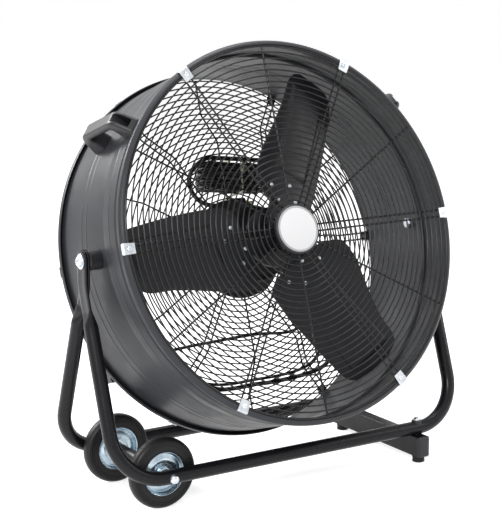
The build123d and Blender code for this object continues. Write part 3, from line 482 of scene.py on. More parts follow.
# an arm's path runs down the plate, out along the flare, down the arm, round a quarter circle and along
# the bottom to its middle, and the other arm mirrors it
def standTube(side, name, node):
    half = tube["spacing"] / 2
    lowY, lowZ = pivot[1] + side * tube["stagger"], pivot[2] - tube["plateLow"]
    lean = math.atan2(half - tube["stagger"], lowZ - tube["axleHeight"])
    slant = np.array([0, -side * math.sin(lean), math.cos(lean)])
    foot = np.array([0, pivot[1] + side * half, tube["axleHeight"]])
    turn = np.linspace(0, math.pi / 2, 28)[:, None]
    centre = foot - xWay * tube["armX"] + (xWay + slant) * tube["bend"]
    bend = centre - (xWay * np.cos(turn) + slant * np.sin(turn)) * tube["bend"]
    plateX = -tube["armX"] + side * tube["plateThickness"] / 2
    kink = softLine([(pivot[1], pivot[2] + tube["plateTop"]), (pivot[1], pivot[2] - tube["plateBend"]),
                     (lowY, lowZ)], 16, 9)
    kink = np.vstack([np.linspace(kink[0], kink[1], 16), kink[2:-1]])
    plate = np.column_stack([np.full(len(kink), plateX), kink])
    share = np.linspace(0, 1, 22)[:, None]
    flareEnd = np.array([-tube["armX"], lowY, lowZ]) - slant * tube["flare"]
    flare = np.array([plateX, lowY, lowZ]) * (1 - share) + flareEnd * share
    arm = np.linspace(flare[-1], bend[0], 14)[1:-1]
    run = np.linspace(bend[-1], foot, 14)[1:]
    halfPath = np.vstack([plate, flare, arm, bend, run])
    path = np.vstack([halfPath, halfPath[-2::-1] * np.array([-1, 1, 1])])
    # the section goes from flat (0) to round (1) along the flare, and narrows in an arc to the tip
    below = np.ones(len(arm) + len(bend) + len(run))
    roundness = np.concatenate([np.zeros(len(plate)), eased(share[:, 0]), below])
    roundness = np.concatenate([roundness, roundness[-2::-1]])
    top = pivot[2] + tube["plateTop"] - path[:, 2]
    crown = np.sqrt(np.clip(1 - (1 - np.clip(top / tube["crown"], 0, 1)) ** 2, 0.02, 1))
    width = (tube["plateWidth"] + (tube["diameter"] - tube["plateWidth"]) * roundness) * crown
    thick = tube["plateThickness"] + (tube["diameter"] - tube["plateThickness"]) * roundness
    angle = fullTurn(36)[None, :]
    power = 0.45 + 0.55 * roundness[:, None]
    c, s = np.cos(angle), np.sin(angle)
    across = np.sign(c) * np.abs(c) ** power * width[:, None] / 2
    deep = np.sign(s) * np.abs(s) ** power * thick[:, None] / 2
    # a shallow valley runs down the middle of the flattened ends
    valley = tube["valley"] * np.exp(-(across / tube["valleyHalf"]) ** 2) * np.sign(s)
    valley *= (1 - roundness[:, None]) * (top[:, None] > tube["valleyTop"])
    skin = swept(path, np.stack([across, deep - valley], axis=-1), np.cross(xWay, slant))
    makePiece(name, [skin], standPaint, "stand", [node])


standTube(-1, "stand_tube_front", "front_tube")
standTube(1, "stand_tube_rear", "rear_tube")

# stand: cross bar, feet and the two bolts through bar and tube. Profiles are (radius, height).
bar = dict(x=266.5, width=25.0, low=11.0, high=50.0, overhang=20.0, footShift=8.0, corner=0.14)
barHalf = tube["spacing"] / 2 + bar["overhang"]
barMiddle = np.array([bar["x"], pivot[1], (bar["low"] + bar["high"]) / 2])
barPath = barMiddle + np.linspace(-barHalf, barHalf, 12)[:, None] * yWay
barSection = boxySection(bar["high"] - bar["low"], bar["width"], bar["corner"], 56)
makePiece("stand_bar", [swept(barPath, barSection, zWay)], standPaint, "stand", ["cross_bar"])
capSteps = (np.array([0, 0, 2.6, 4.2, 5.0, 5.0]) + 0.01 * np.arange(6))[:, None]
capSection = barSection * np.array([0.9, 1.0, 1.0, 0.94, 0.84, 0.3])[:, None, None]
capSkins = [swept(barMiddle + end * (barHalf + capSteps) * yWay, capSection, zWay) for end in (-1, 1)]
makePiece("bar_end_caps", capSkins, blackPlastic, "stand", ["bar_caps"])

footProfile = [(0, 11), (12, 11), (12, 9.6), (11.2, 8.8), (11.2, 3), (11.6, 2.2), (11.6, 0.8),
               (10.8, 0), (0, 0)]
collarProfile = closed([(3, -4), (9.5, -4), (9.5, 1.2), (8.6, 2.4), (3, 2.4)])
barBoltProfile = [(0, -26), (3, -26), (3, 2.4), (6, 2.4), (6, 4.4), (5.4, 6.2), (3.4, 7.6), (2.2, 7.9),
                  (2.2, 6.6), (0, 6.6)]
tubeTop = tube["axleHeight"] + tube["diameter"] / 2
feet, collars, barBolts = [], [], []
for end in (-1, 1):
    tubeY = pivot[1] + end * tube["spacing"] / 2
    footFrame = (np.array([bar["x"], tubeY + end * bar["footShift"], 0]), xWay, yWay, zWay)
    boltFrame = (np.array([bar["x"], tubeY, tubeTop]), xWay, yWay, zWay)
    feet.append(turned(footFrame, footProfile, 48))
    collars.append(turned(boltFrame, collarProfile, 40))
    barBolts.append(turned(boltFrame, barBoltProfile, 36))
makePiece("stand_feet", feet, footRubber, "stand", ["rubber_feet"])
makePiece("bolt_collars", collars, blackPlastic, "stand", ["screw_collars"])
makePiece("bar_bolts", barBolts, zincPlate, "stand", ["bar_screws"])
print("stand made")

# wheels
wheel = dict(x=-261.8, height=62.5, spacing=166.0, axle=6.0, sleeve=11.0, hubHalf=12.9)


# a frame on the axle, at the front wheel (-1), the rear one (1) or between them (0)
def wheelFrame(side):
    seat = np.array([wheel["x"], pivot[1] + side * wheel["spacing"] / 2, wheel["height"]])
    return (seat, xWay, zWay, -yWay)


# half a tyre's outline from the bead out over three sidewall ribs to the tread, then mirrored
tyreHalf = [(37.6, 9.2), (38.6, 10.6), (40.5, 11.2), (44, 11.5), (49.0, 11.8), (49.4, 11.1), (50.2, 11.1),
            (50.6, 11.8), (52.4, 11.8), (52.8, 11.0), (53.6, 11.0), (54.0, 11.6), (55.6, 11.3), (56.0, 10.5),
            (56.8, 10.4), (57.2, 10.9), (59.4, 9.4), (61.2, 7.2), (62.2, 4.2), (62.5, 0)]
tyreLoop = tyreHalf + [(r, -h) for r, h in tyreHalf[-2::-1]]
rimHalf = [(6.1, 12.4), (10.6, 12.4), (11.2, 11.8), (11.4, 5.6), (12.4, 4.2), (15.0, 4.0), (18.0, 5.4),
           (21.0, 6.4), (25.0, 6.6), (28.0, 5.8), (31.0, 3.8), (34.0, 3.4), (35.6, 5.0), (36.6, 8.6),
           (37.4, 10.4), (38.6, 10.9), (39.0, 10.0), (38.2, 9.0)]
rimLoop = rimHalf + [(r, -h) for r, h in rimHalf[::-1]]
for side, end in ((-1, "front"), (1, "rear")):
    tyreSkin = turnedLoop(wheelFrame(side), tyreLoop, 112)
    rimSkin = turnedLoop(wheelFrame(side), rimLoop, 96)
    makePiece("tyre_" + end, [tyreSkin], tyreRubber, end + "_wheel", [end + "_tyre"], sharp=50)
    makePiece("rim_" + end, [rimSkin], wheelZinc, end + "_wheel", [end + "_rim"], sharp=50)

axleFrame = wheelFrame(0)
axleEnd = tube["spacing"] / 2 + tube["diameter"] / 2
axle = wheel["axle"]
axleLine = [(0, -axleEnd), (axle, -axleEnd), (axle, axleEnd), (0, axleEnd)]
makePiece("wheel_axle", [turned(axleFrame, axleLine, 40)], zincPlate, "stand", ["axle"])
domeNut = np.array([(0, -0.3), (6.4, -0.3), (8.3, 0.2), (8.5, 1.2), (8.2, 3.4), (7.2, 5.8), (5.2, 7.8),
                    (2.6, 8.8), (0, 9.0)])
nutSkins = [turned(axleFrame, domeNut * (1, end) + (0, end * axleEnd), 40) for end in (-1, 1)]
makePiece("axle_dome_nuts", nutSkins, zincPlate, "stand", ["axle_nuts"])
sleeveEnd, sleeve = wheel["spacing"] / 2 - wheel["hubHalf"], wheel["sleeve"]
sleeveLoop = closed([(axle, -sleeveEnd), (sleeve, -sleeveEnd), (sleeve, sleeveEnd), (axle, sleeveEnd)])
makePiece("wheel_sleeve", [turned(axleFrame, sleeveLoop, 48)], blackPlastic, "stand", ["axle_sleeve"])
print("wheels made")

# drum shell: a sheet's edge view turned about the drum's axis, with turned rims, a groove, a raised
# swage and three beads
shell = dict(inner=331.0, outerRim=340.0, front=107.0, rear=143.5, sheet=1.2, hem=14.0, swage=2.2,
             swageRear=31.0, grooveDeep=3.0, swageFront=76.0, beads=(-56.0, -38.0, 53.0), bead=0.6)
middle = shell["inner"] + shell["sheet"] / 2
rimReach = shell["outerRim"] - shell["sheet"] / 2
wall = []
for at in shell["beads"][:2]:
    wall += [(middle, at - 1.6), (middle + shell["bead"], at), (middle, at + 1.6)]
raised = middle + shell["swage"]
bead = shell["beads"][2]
groove, swageEnd = shell["swageRear"], shell["swageFront"]
wall += [(middle, groove - 1.9), (middle - shell["grooveDeep"], groove - 1.3),
         (middle - shell["grooveDeep"], groove + 1.1), (raised, groove + 2.0),
         (raised, bead - 1.6), (raised + shell["bead"], bead), (raised, bead + 1.6),
         (raised, swageEnd - 1.4), (middle + 0.4, swageEnd), (middle + 0.4, 87.0),
         (middle + 1.6, 88.6), (middle, 90.4)]
hemRear, hemFront = -shell["rear"] + shell["hem"], shell["front"] - shell["hem"]
shellRear, shellFront = -shell["rear"] + shell["sheet"] / 2, shell["front"] - shell["sheet"] / 2
shellLine = softLine(
    [(rimReach - 0.8, hemRear), (rimReach, hemRear - 3), (rimReach, shellRear + 4.8),
     (rimReach - 5.2, shellRear), (middle, shellRear)] + wall +
    [(middle, shellFront), (rimReach - 5.2, shellFront), (rimReach, shellFront - 4.8),
     (rimReach, hemFront + 3), (rimReach - 0.8, hemFront)],
    [1.2, 2.2, 2.2, 1.6] + [0.5] * len(wall) + [1.6, 2.2, 2.2, 1.2], 5)
shellSkin = turnedLoop(drumFrame, sheetLoop(shellLine, shell["sheet"]), 256)
makePiece("drum_sheet", [shellSkin], drumPaint, "drum", ["drum_shell"], sharp=55)
print("drum made")

# wire guards: rings on spokes, with a heavier ring at the front's edge and a dish in the rear one
guard = dict(wire=2.8, spoke=3.3, outer=328.0, pitch=10.6, centre=38.5, pairGap=12.0, dishOuter=262.0,
             dishInner=203.0, dishDepth=41.0, rearInner=78.5, heavy=4.6, seated=0.95)


# twelve wires bent in planes through the drum's axis, every other one a pair: their line gives radius
# outwards and depth towards the outlet
def spokeSkins(line):
    line = softLine(line, 5, 4) if len(line) > 2 else np.linspace(line[0], line[1], 6)
    skins = []
    for angle in range(0, 360, 30):
        spot = spokeFrame(angle, 0, 0)
        for shift in (-guard["pairGap"] / 2, guard["pairGap"] / 2) if angle % 60 == 0 else (0,):
            path = spotIn(spot, shift, line[:, 1], line[:, 0])
            skins.append(swept(path, roundSection(guard["spoke"], 8), spot[1]))
    return skins


# how far a spoke's middle stands from its rings' middle
seated = guard["wire"] * guard["seated"]
frontDepth = shell["front"] - guard["wire"] / 2
frontSkins = [wireRing(drumFrame, radius, frontDepth, guard["wire"])
              for radius in np.arange(guard["outer"], guard["centre"], -guard["pitch"])]
frontSkins.append(wireRing(drumFrame, guard["outer"] + 0.8, frontDepth - 0.8, guard["heavy"]))
frontSkins += spokeSkins([(guard["centre"], frontDepth - seated), (guard["outer"], frontDepth - seated)])
makePiece("guard_front", frontSkins, wirePaint, "drum", ["front_guard"], sharp=60)

rearDepth = -shell["rear"] + guard["wire"] / 2
dishDepth = rearDepth + guard["dishDepth"]
rearRadii = np.arange(guard["outer"], guard["rearInner"], -guard["pitch"])
intoDish = np.clip((guard["dishOuter"] - rearRadii) / (guard["dishOuter"] - guard["dishInner"]), 0, 1)
rearSkins = [wireRing(drumFrame, radius, rearDepth + guard["dishDepth"] * share, guard["wire"])
             for radius, share in zip(rearRadii, intoDish)]
rearSkins += spokeSkins([
    (guard["rearInner"] - 4, dishDepth + seated), (guard["dishInner"], dishDepth + seated),
    (guard["dishOuter"], rearDepth + seated), (guard["outer"], rearDepth + seated)])
makePiece("guard_rear", rearSkins, wirePaint, "drum", ["rear_guard"], sharp=60)
print("guards made")

# clips on both rims
clip = dict(width=20.0, sheet=1.8, count=6, inner=318.0, outer=339.6, lip=5.0, screwAt=329.0)


def clipSkins(side):
    # a square plate over the rim, with its outer end turned down over the edge
    face = (shell["front"] if side > 0 else shell["rear"]) + clip["sheet"] / 2
    outer = clip["outer"]
    line = softLine([(outer, face - clip["lip"]), (outer, face), (clip["inner"], face)], 2.2, 6)
    wide = np.full(len(line), clip["width"])
    wide[[0, -1]] -= (3, 2)
    section = np.array([[-0.5, -0.36], [-0.49, -0.5], [0.49, -0.5], [0.5, -0.36],
                        [0.5, 0.36], [0.49, 0.5], [-0.49, 0.5], [-0.5, 0.36]])
    sections = section * np.stack([wide, np.full(len(wide), clip["sheet"])], axis=-1)[:, None]
    skins = []
    for k in range(clip["count"]):
        spot = spokeFrame(k * 360 / clip["count"], 0, 0)
        skins.append(swept(spotIn(spot, 0, side * line[:, 1], line[:, 0]), sections, spot[1]))
    return skins


screwHead = [(0, 0), (4.2, 0), (4.2, 0.9), (3.4, 2.0), (1.5, 2.5), (1.3, 1.5), (0, 1.5)]
screwSkins = []
for side in (-1, 1):
    top = (shell["front"] if side > 0 else shell["rear"]) + clip["sheet"]
    for k in range(clip["count"]):
        spot = spokeFrame(k * 360 / clip["count"], clip["screwAt"], side * top)
        screwSkins.append(turned((spot[0], spot[1], spot[3], spot[2] * side), screwHead, 24))
makePiece("clips_front", clipSkins(1), zincPlate, "drum", ["front_clips"])
makePiece("clips_rear", clipSkins(-1), zincPlate, "drum", ["rear_clips"])
makePiece("clip_screw_heads", screwSkins, zincPlate, "drum", ["clip_screws"])

# badge: a bare white disc in a grey ring and a dark edge
badge = dict(radius=44.5, face=40.5, back=107.2, front=115.2)
wide, face, front = badge["radius"], badge["face"], badge["front"]
badgeEdge = [(0, badge["back"]), (wide - 1, badge["back"]), (wide, badge["back"] + 1), (wide, front - 2.8),
             (wide - 1.2, front - 0.6), (face + 0.6, front + 0.4), (face, front), (0, front)]
badgeRing = closed([(36.6, front), (36.8, front + 0.8), (38.6, front + 1.2), (face - 0.2, front + 0.8),
                    (face - 0.1, front)])
badgeFace = [(0, front - 0.1), (face - 0.1, front - 0.1), (face - 0.1, front + 0.4),
             (face - 1.2, front + 0.8), (0, front + 0.8)]
makePiece("badge_edge", [turned(drumFrame, badgeEdge, 96)], blackPlastic, "drum", ["badge_plate"])
makePiece("badge_ring", [turned(drumFrame, badgeRing, 96)], badgeGrey)
makePiece("badge_face", [turned(drumFrame, badgeFace, 96)], badgeWhite, "drum", ["badge_plate"])
print("clips and badge made")

# carrying handles
handle = dict(angles=(142.5, 37.5), front=90.0, rear=-62.0, top=376.2, width=30.0, grip=15.0, foot=36.0,
              lean=18.0, corner=15.0, roll=5.5, floor=340.4, pocketHalf=8.0, pocketLength=22.0,
              seat=332.5, opening=9.0)
pocketDepths = (handle["rear"] + handle["foot"] / 2, handle["front"] - handle["foot"] / 2 + 3)


def handleSkin(angle):
    # a bridge's outline over the drum, carried across its width: both sides are drawn in by a quarter
    # round, and the rows inside the pockets' width drop to the pockets' floor
    rear, front, top, seat = handle["rear"], handle["front"], handle["top"], handle["seat"]
    outline = softLine([(rear, handle["floor"]), (rear + handle["lean"], top), (front - handle["lean"], top),
                        (front, handle["floor"])], handle["corner"], 14)
    pocket = handle["pocketLength"] / 2
    depths = [np.linspace(rear, pocketDepths[0] - pocket, 6)]
    for middleOf in pocketDepths:
        depths.append(np.linspace(middleOf - pocket, middleOf + pocket, 10))
        if middleOf < pocketDepths[-1]:
            depths.append(np.linspace(middleOf + pocket, pocketDepths[-1] - pocket, 34))
    depths.append(np.linspace(pocketDepths[-1] + pocket, front, 6))
    inPocket = np.concatenate([np.full(len(part), number in (1, 3)) for number, part in enumerate(depths)])
    depths = np.concatenate(depths)
    heights = np.interp(depths, outline[:, 0], outline[:, 1])
    outside = np.column_stack([depths, heights])
    outside = np.vstack([[rear, seat], outside, [front, seat]])
    inPocket = np.concatenate([[False], inPocket, [False]])
    # the front foot stands on the swage, and the rear one on the plain sheet
    swageTop = seat + shell["swage"]
    under = top - handle["grip"]
    inside = softLine([(front - handle["foot"], swageTop), (front - handle["foot"], under),
                       (rear + handle["foot"], under), (rear + handle["foot"], seat)],
                      handle["opening"], 8)
    inside = np.vstack([[shell["swageFront"] + 1, seat], [shell["swageFront"] + 1, swageTop], inside])
    loop = np.vstack([outside, inside])
    inPocket = np.concatenate([inPocket, np.zeros(len(inside), bool)])
    along = np.roll(loop, -1, axis=0) - np.roll(loop, 1, axis=0)
    along /= np.linalg.norm(along, axis=1)[:, None] + 1e-9
    inward = np.stack([along[:, 1], -along[:, 0]], axis=1)
    inward[loop[:, 1] < swageTop + 0.5, 1] = 0
    roll, half = handle["roll"], handle["width"] / 2
    turn = np.linspace(0, math.pi / 2, 7)
    side = half - roll * (1 - np.cos(turn))
    drawn = roll * (1 - np.sin(turn))
    pocketHalf = handle["pocketHalf"]
    across = np.concatenate([-side, [-pocketHalf, -pocketHalf, pocketHalf, pocketHalf], side[::-1]])
    inset = np.concatenate([drawn, [0, 0, 0, 0], drawn[::-1]])
    dropped = np.array([False] * 8 + [True] * 2 + [False] * 8)
    moved = loop[None] + inset[:, None, None] * inward[None]
    moved[..., 1] = np.where(dropped[:, None] & inPocket[None], handle["floor"], moved[..., 1])
    # the seats follow the drum: they come in by the square of the reach across over its diameter
    low = moved[..., 1] < swageTop + 0.5
    moved[..., 1] -= np.where(low, across[:, None] ** 2 / (2 * middle), 0)
    grid = place(spokeFrame(angle, 0, 0), across[:, None], moved[..., 0], moved[..., 1])
    return (grid, False, True, True)


# a round head with a rolled edge and a recess, seen at the pockets' floor
pocketHead = [(0, 0), (6.6, 0), (6.9, 0.6), (6.6, 2.2), (5.2, 3.5), (2.8, 4.0), (2.3, 3.6),
              (2.1, 2.0), (0, 2.0)]
pocketSkins = []
for angle, name in zip(handle["angles"], ("left", "right")):
    makePiece("handle_" + name, [handleSkin(angle)], blackPlastic, "drum", [name + "_handle"],
              sharp=50)
    for depth in pocketDepths:
        spot = spokeFrame(angle, handle["floor"], depth)
        pocketSkins.append(turned((spot[0], spot[1], -spot[2], spot[3]), pocketHead, 28))
makePiece("handle_screw_heads", pocketSkins, darkSteel, "drum", ["handle_screws"])

# tilt pivots, from the nut inside the drum out to the bolt's head. Profiles are (radius, reach).
pivotFit = dict(bolt=6.0, hole=6.2, spacer=17.0, washer=13.0, head=8.8, nut=10.0, boltEnd=320.0,
                nutAt=322.0, drum=333.4, spacerEnd=355.7, plateFace=366.3, washerThick=1.6)
bolt, hole, spacer, washer = pivotFit["bolt"], pivotFit["hole"], pivotFit["spacer"], pivotFit["washer"]
head, nut, nutAt, plateFace = pivotFit["head"], pivotFit["nut"], pivotFit["nutAt"], pivotFit["plateFace"]
seat = plateFace + pivotFit["washerThick"]
washerLoop = closed([(hole, plateFace), (washer, plateFace), (washer, seat - 0.4), (washer - 0.4, seat),
                     (hole, seat)])
boltLine = [(0, pivotFit["boltEnd"]), (bolt, pivotFit["boltEnd"]), (bolt, seat), (head, seat),
            (head, seat + 1.7), (head - 0.8, seat + 3.9), (5.6, seat + 5.9), (3.0, seat + 6.8),
            (2.6, seat + 4.7), (0, seat + 4.7)]
nutLoop = closed([(bolt, nutAt), (nut - 0.8, nutAt), (nut, nutAt + 1), (nut, nutAt + 8.2),
                  (bolt, nutAt + 8.2)])
# the spacer's inner end follows the drum: its reach is the drum's radius less the chord's sag
around = fullTurn(64)
sag = np.sqrt(pivotFit["drum"] ** 2 - (spacer * np.sin(around)) ** 2)
spacerRadius = np.array([hole, spacer, spacer, spacer - 1.5, hole])[:, None]
level = np.ones(64)
spacerEnd = pivotFit["spacerEnd"]
spacerReach = np.stack([(pivotFit["drum"] - 0.4) * level, sag, (spacerEnd - 1.5) * level,
                        spacerEnd * level, spacerEnd * level])
spacerSkins, washerSkins, boltSkins, pivotNutSkins = [], [], [], []
for side in (-1, 1):
    spot = (pivot, yWay, zWay, side * xWay)
    grid = place(spot, spacerRadius * np.cos(around), spacerRadius * np.sin(around), spacerReach)
    spacerSkins.append((grid, True, True, False))
    washerSkins.append(turned(spot, washerLoop, 48))
    boltSkins.append(turned(spot, boltLine, 48))
    pivotNutSkins.append(turned(spot, nutLoop, 6))
makePiece("pivot_spacer_blocks", spacerSkins, blackPlastic, "drum", ["pivot_spacers"])
makePiece("pivot_washer_rings", washerSkins, zincPlate, "drum", ["pivot_washers"])
makePiece("pivot_bolt_heads", boltSkins, zincPlate, "drum", ["pivot_bolts"])
makePiece("pivot_lock_nuts", pivotNutSkins, zincPlate, "drum", ["pivot_nuts"], sharp=20)
print("handles and pivots made")

# blades: a curved, pitched sheet with a raised panel. The edges give, at each radius, how far the
# clockwise edge and the other one stand across the blade.
blade = dict(phase=63.5, count=3, depth=35.0, pitch=18.0, camber=400.0, sheet=1.5, root=60.0, tip=308.0,
             panel=2.4, panelRoot=120.0, panelTip=286.0, panelLow=-41.0, panelHigh=(34.0, 43.0), ease=4.0,
             rivets=((67.0, 12.0), (84.0, 37.0), (80.0, -30.0), (102.0, -8.0)), rivet=8.0, roundFrom=200.0,
             edgeRadius=(60, 66, 74, 84, 100, 130, 160, 200, 240, 280, 294, 302, 308),
             edgeLow=(-42, -56, -65, -69, -70, -70.5, -70, -68, -65, -61, -56, -48, -34),
             edgeHigh=(42, 58, 74, 84, 86, 84, 76, 66, 58.5, 57, 53, 45, 30))


# the strip across a spoke: an arc of the camber's radius turned by the pitch, and the arc's own angle is
# found from the width seen, then a height is added along the arc's normal
def onStrip(across, height):
    pitch = math.radians(blade["pitch"])
    arc = np.linspace(-160, 160, 400) / blade["camber"]
    seen = blade["camber"] * (np.sin(arc) * math.cos(pitch) - (1 - np.cos(arc)) * math.sin(pitch))
    turn = np.interp(across, seen, arc)
    flatX = blade["camber"] * np.sin(turn) - height * np.sin(turn)
    flatY = blade["camber"] * (1 - np.cos(turn)) + height * np.cos(turn)
    return (flatX * math.cos(pitch) - flatY * math.sin(pitch),
            flatX * math.sin(pitch) + flatY * math.cos(pitch))


def bladeSkin(angle):
    s = np.linspace(0, 1, 150)[:, None]
    t = np.linspace(0, 1, 110)[None, :]
    radius = blade["root"] + (blade["tip"] - blade["root"]) * s
    lowEdge = np.interp(radius, blade["edgeRadius"], blade["edgeLow"])
    highEdge = np.interp(radius, blade["edgeRadius"], blade["edgeHigh"])
    across = lowEdge + (highEdge - lowEdge) * t
    # the panel stands proud inside its four eased edges
    ease = blade["ease"]
    height = eased((radius - blade["panelRoot"]) / ease) * eased((blade["panelTip"] - radius) / ease)
    panelHigh = np.interp(radius, [blade["panelRoot"], blade["panelTip"]], blade["panelHigh"])
    height = height * eased((across - blade["panelLow"]) / ease) * eased((panelHigh - across) / ease)
    x, y = onStrip(across, height * blade["panel"])
    # the tip follows a circle about the shaft
    rounding = eased((radius - blade["roundFrom"]) / (blade["tip"] - blade["roundFrom"]))
    reach = radius - rounding * across ** 2 / (2 * blade["tip"])
    return (place(spokeFrame(angle, 0, blade["depth"]), x, y, reach), False, False, False)


# a domed rivet head: radius and height of a shallow cap
rivetHead = [(0, -1.0), (blade["rivet"] / 2, -1.0), (blade["rivet"] / 2, 0.7), (blade["rivet"] * 0.42, 1.6),
             (blade["rivet"] * 0.25, 2.4), (0, 2.7)]
for number in range(blade["count"]):
    angle = blade["phase"] + number * 360 / blade["count"]
    leaf = makePiece(f"fan_blade_{number + 1}", [bladeSkin(angle)], bladePaint, "rotor",
                     [f"blade_{number + 1}"], sharp=50, solid=False)
    thickness = leaf.modifiers.new("sheet", "SOLIDIFY")
    thickness.thickness = blade["sheet"] / 1000
    thickness.offset = 0
    heads = []
    for radius, across in blade["rivets"]:
        x, y = onStrip(np.array(across), blade["sheet"] / 2)
        spot = spokeFrame(angle, radius, blade["depth"] + float(y))
        heads.append(turned((spot[0] + spot[1] * float(x), spot[1], -spot[3], spot[2]), rivetHead, 20))
    makePiece(f"blade_rivets_{number + 1}", heads, zincPlate, "rotor")
print("blades made")

# motor: turned covers, a ribbed casing and its plate. Profiles are (radius, depth towards the outlet).
motor = dict(plateRear=-96.5, plateFront=-93.5, plate=92.0, hole=59.3, radius=69.8, casing=-31.5,
             bell=-21.5, bellEdge=63.8, boss=22.0, bossFront=-13.5, bore=7.3, rear=-124.5, ribs=36, rib=1.5,
             screwCircle=78.5)
plateRear, plateFront, plate, hole = (motor[key] for key in ("plateRear", "plateFront", "plate", "hole"))
plateLoop = closed([(hole, plateRear), (plate - 0.8, plateRear), (plate, plateRear + 0.8),
                    (plate, plateFront - 0.8), (plate - 0.8, plateFront), (hole, plateFront)])
makePiece("motor_plate", [turned(drumFrame, plateLoop, 96)], motorPaint, "drum", ["motor_mount"])
# the casing's ribs: its radius drops in a soft square wave of the angle between the two plain bands
casing, reach, boss, bore = motor["casing"], motor["radius"], motor["boss"], motor["bore"]
turnAngle = fullTurn(288)[None, :]
heights = np.concatenate([np.linspace(plateFront + 0.1, plateFront + 7, 4),
                          np.linspace(plateFront + 8.2, casing - 8.2, 16),
                          np.linspace(casing - 7, casing - 0.1, 4)])[:, None]
ribbed = (heights > plateFront + 7.5) & (heights < casing - 7.5)
wave = 0.5 - 0.5 * np.tanh(3 * np.cos(motor["ribs"] * turnAngle))
ribRadius = reach - motor["rib"] * ribbed * wave
casingGrid = place(drumFrame, ribRadius * np.cos(turnAngle), ribRadius * np.sin(turnAngle), heights)
makePiece("motor_casing_ribbed", [(casingGrid, False, True, True)], motorPaint, "drum", ["motor_casing"])
bell, bellEdge, bossFront = motor["bell"], motor["bellEdge"], motor["bossFront"]
frontBell = closed([(bore, casing), (reach, casing), (reach, casing + 1.6), (reach - 1.2, casing + 3.2),
                    (bellEdge + 0.8, bell - 1.0), (bellEdge - 1.4, bell), (52, bell), (50, bell - 1.6),
                    (34, bell - 1.6), (32, bell), (boss, bell), (boss - 1.2, bossFront - 1.2),
                    (boss - 2.4, bossFront), (bore, bossFront)])
makePiece("motor_bell_front", [turned(drumFrame, frontBell, 96)], motorPaint, "drum", ["motor_front_bell"])
rear = motor["rear"]
rearBell = [(0, plateFront - 0.2), (59, plateFront - 0.2), (59, rear + 9.0), (58.2, rear + 6.6),
            (54.4, rear + 1.2), (52.6, rear), (40, rear), (38.4, rear + 1.4), (24, rear + 1.4),
            (22.4, rear + 0.2), (0, rear + 0.2)]
makePiece("motor_bell_rear", [turned(drumFrame, rearBell, 96)], motorPaint, "drum", ["motor_rear_bell"])


# a hexagon head over its washer face, with the corners turned off
def hexHead(spot, radius, height):
    face = [(0, 0), (radius * 1.02, 0), (radius * 1.02, height * 0.12), (0, height * 0.12)]
    sides = [(0, height * 0.1), (radius, height * 0.1), (radius, height * 0.82), (radius * 0.86, height),
             (radius * 0.3, height), (radius * 0.24, height * 0.9), (0, height * 0.9)]
    return [turned(spot, face, 28), turned(spot, sides, 6)]


casingScrews = []
for k in range(4):
    spot = spokeFrame(45 + 90 * k, motor["screwCircle"], plateFront)
    casingScrews += hexHead((spot[0], spot[3], spot[1], spot[2]), 4.5, 5.0)
makePiece("motor_screw_heads", casingScrews, zincPlate, "drum", ["motor_screws"], sharp=25)

# the rotor's shaft and the nut that holds the hub on it
shaft = dict(radius=7.0, rear=-120.0, front=77.0, nutAt=65.0)
nutFrame = (pivot + outWay * shaft["nutAt"], xWay, upWay, outWay)
hubNut = closed([(7.05, 0), (10.9, 0), (10.9, 7.8), (9.4, 9.0), (7.05, 9.0)])
makePiece("hub_lock_nut", [turned(nutFrame, hubNut, 6)], zincPlate, "rotor", ["hub_nut"], sharp=25)
thick, rear, front = shaft["radius"], shaft["rear"], shaft["front"]
shaftLine = [(0, rear), (thick - 0.8, rear), (thick, rear + 0.8), (thick, front - 1.4), (thick - 1.2, front),
             (1.6, front), (0, front - 1.2)]
makePiece("rotor_shaft", [turned(drumFrame, shaftLine, 40)], shaftSteel, "rotor", ["motor_shaft"])
print("motor made")

# switch box's fittings, on a frame that looks out of its lid
box = dict(x=-240.0, up=-180.0, rear=-143.5, depth=35.0, lid=3.0, length=70.0, height=50.0, screwInset=6.0)
lidFace = box["rear"] - box["depth"] - box["lid"]
boxFrame = (spotIn(drumFrame, box["x"], box["up"], lidFace), -xWay, upWay, -outWay)
lidScrew = [(0, -1), (2.8, -1), (2.8, 0.2), (2.3, 0.7), (1.2, 0.9), (1.0, 0.2), (0, 0.2)]
lidScrews = []
for x in (-1, 1):
    for y in (-1, 1):
        seat = spotIn(boxFrame, x * (box["length"] / 2 - box["screwInset"]),
                      y * (box["height"] / 2 - box["screwInset"]), 0.0)
        lidScrews.append(turned((seat, *boxFrame[1:]), lidScrew, 20))
makePiece("lid_screws", lidScrews, zincPlate)

# the knob: a fluted skirt, radius less a cosine of the flutes' turns, under a bar with a pale pointer
knob = dict(flutes=12, flute=0.35, barLength=30.0, barWidth=8.3, spindle=2.95, spindleEnd=-15.0)
knobAngle = fullTurn(144)[None, :]
knobHeight = np.array([0.3, 0.3, 1.0, 5.6, 6.8, 7.3, 7.3])[:, None]
knobRadius = np.array([15.6, 16.4, 16.8, 16.2, 15.2, 13.6, 2.0])[:, None]
fluted = np.array([0, 1, 1, 1, 0.7, 0.3, 0])[:, None]
knobRadius = knobRadius - knob["flute"] * fluted * (1 + np.cos(knob["flutes"] * knobAngle))
knobSkirt = place(boxFrame, knobRadius * np.cos(knobAngle), knobRadius * np.sin(knobAngle), knobHeight)
knobSteps = (np.array([6.6, 7.3, 12.6, 13.6, 14.2, 14.2]) + 0.001 * np.arange(6))[:, None]
knobSection = boxySection(knob["barLength"], knob["barWidth"], 0.5, 48) * np.array(
    [1.0, 1.0, 0.985, 0.94, 0.86, 0.3])[:, None, None]
knobBar = swept(boxFrame[0] - knobSteps * outWay, knobSection, upWay)
thin, end = knob["spindle"], knob["spindleEnd"]
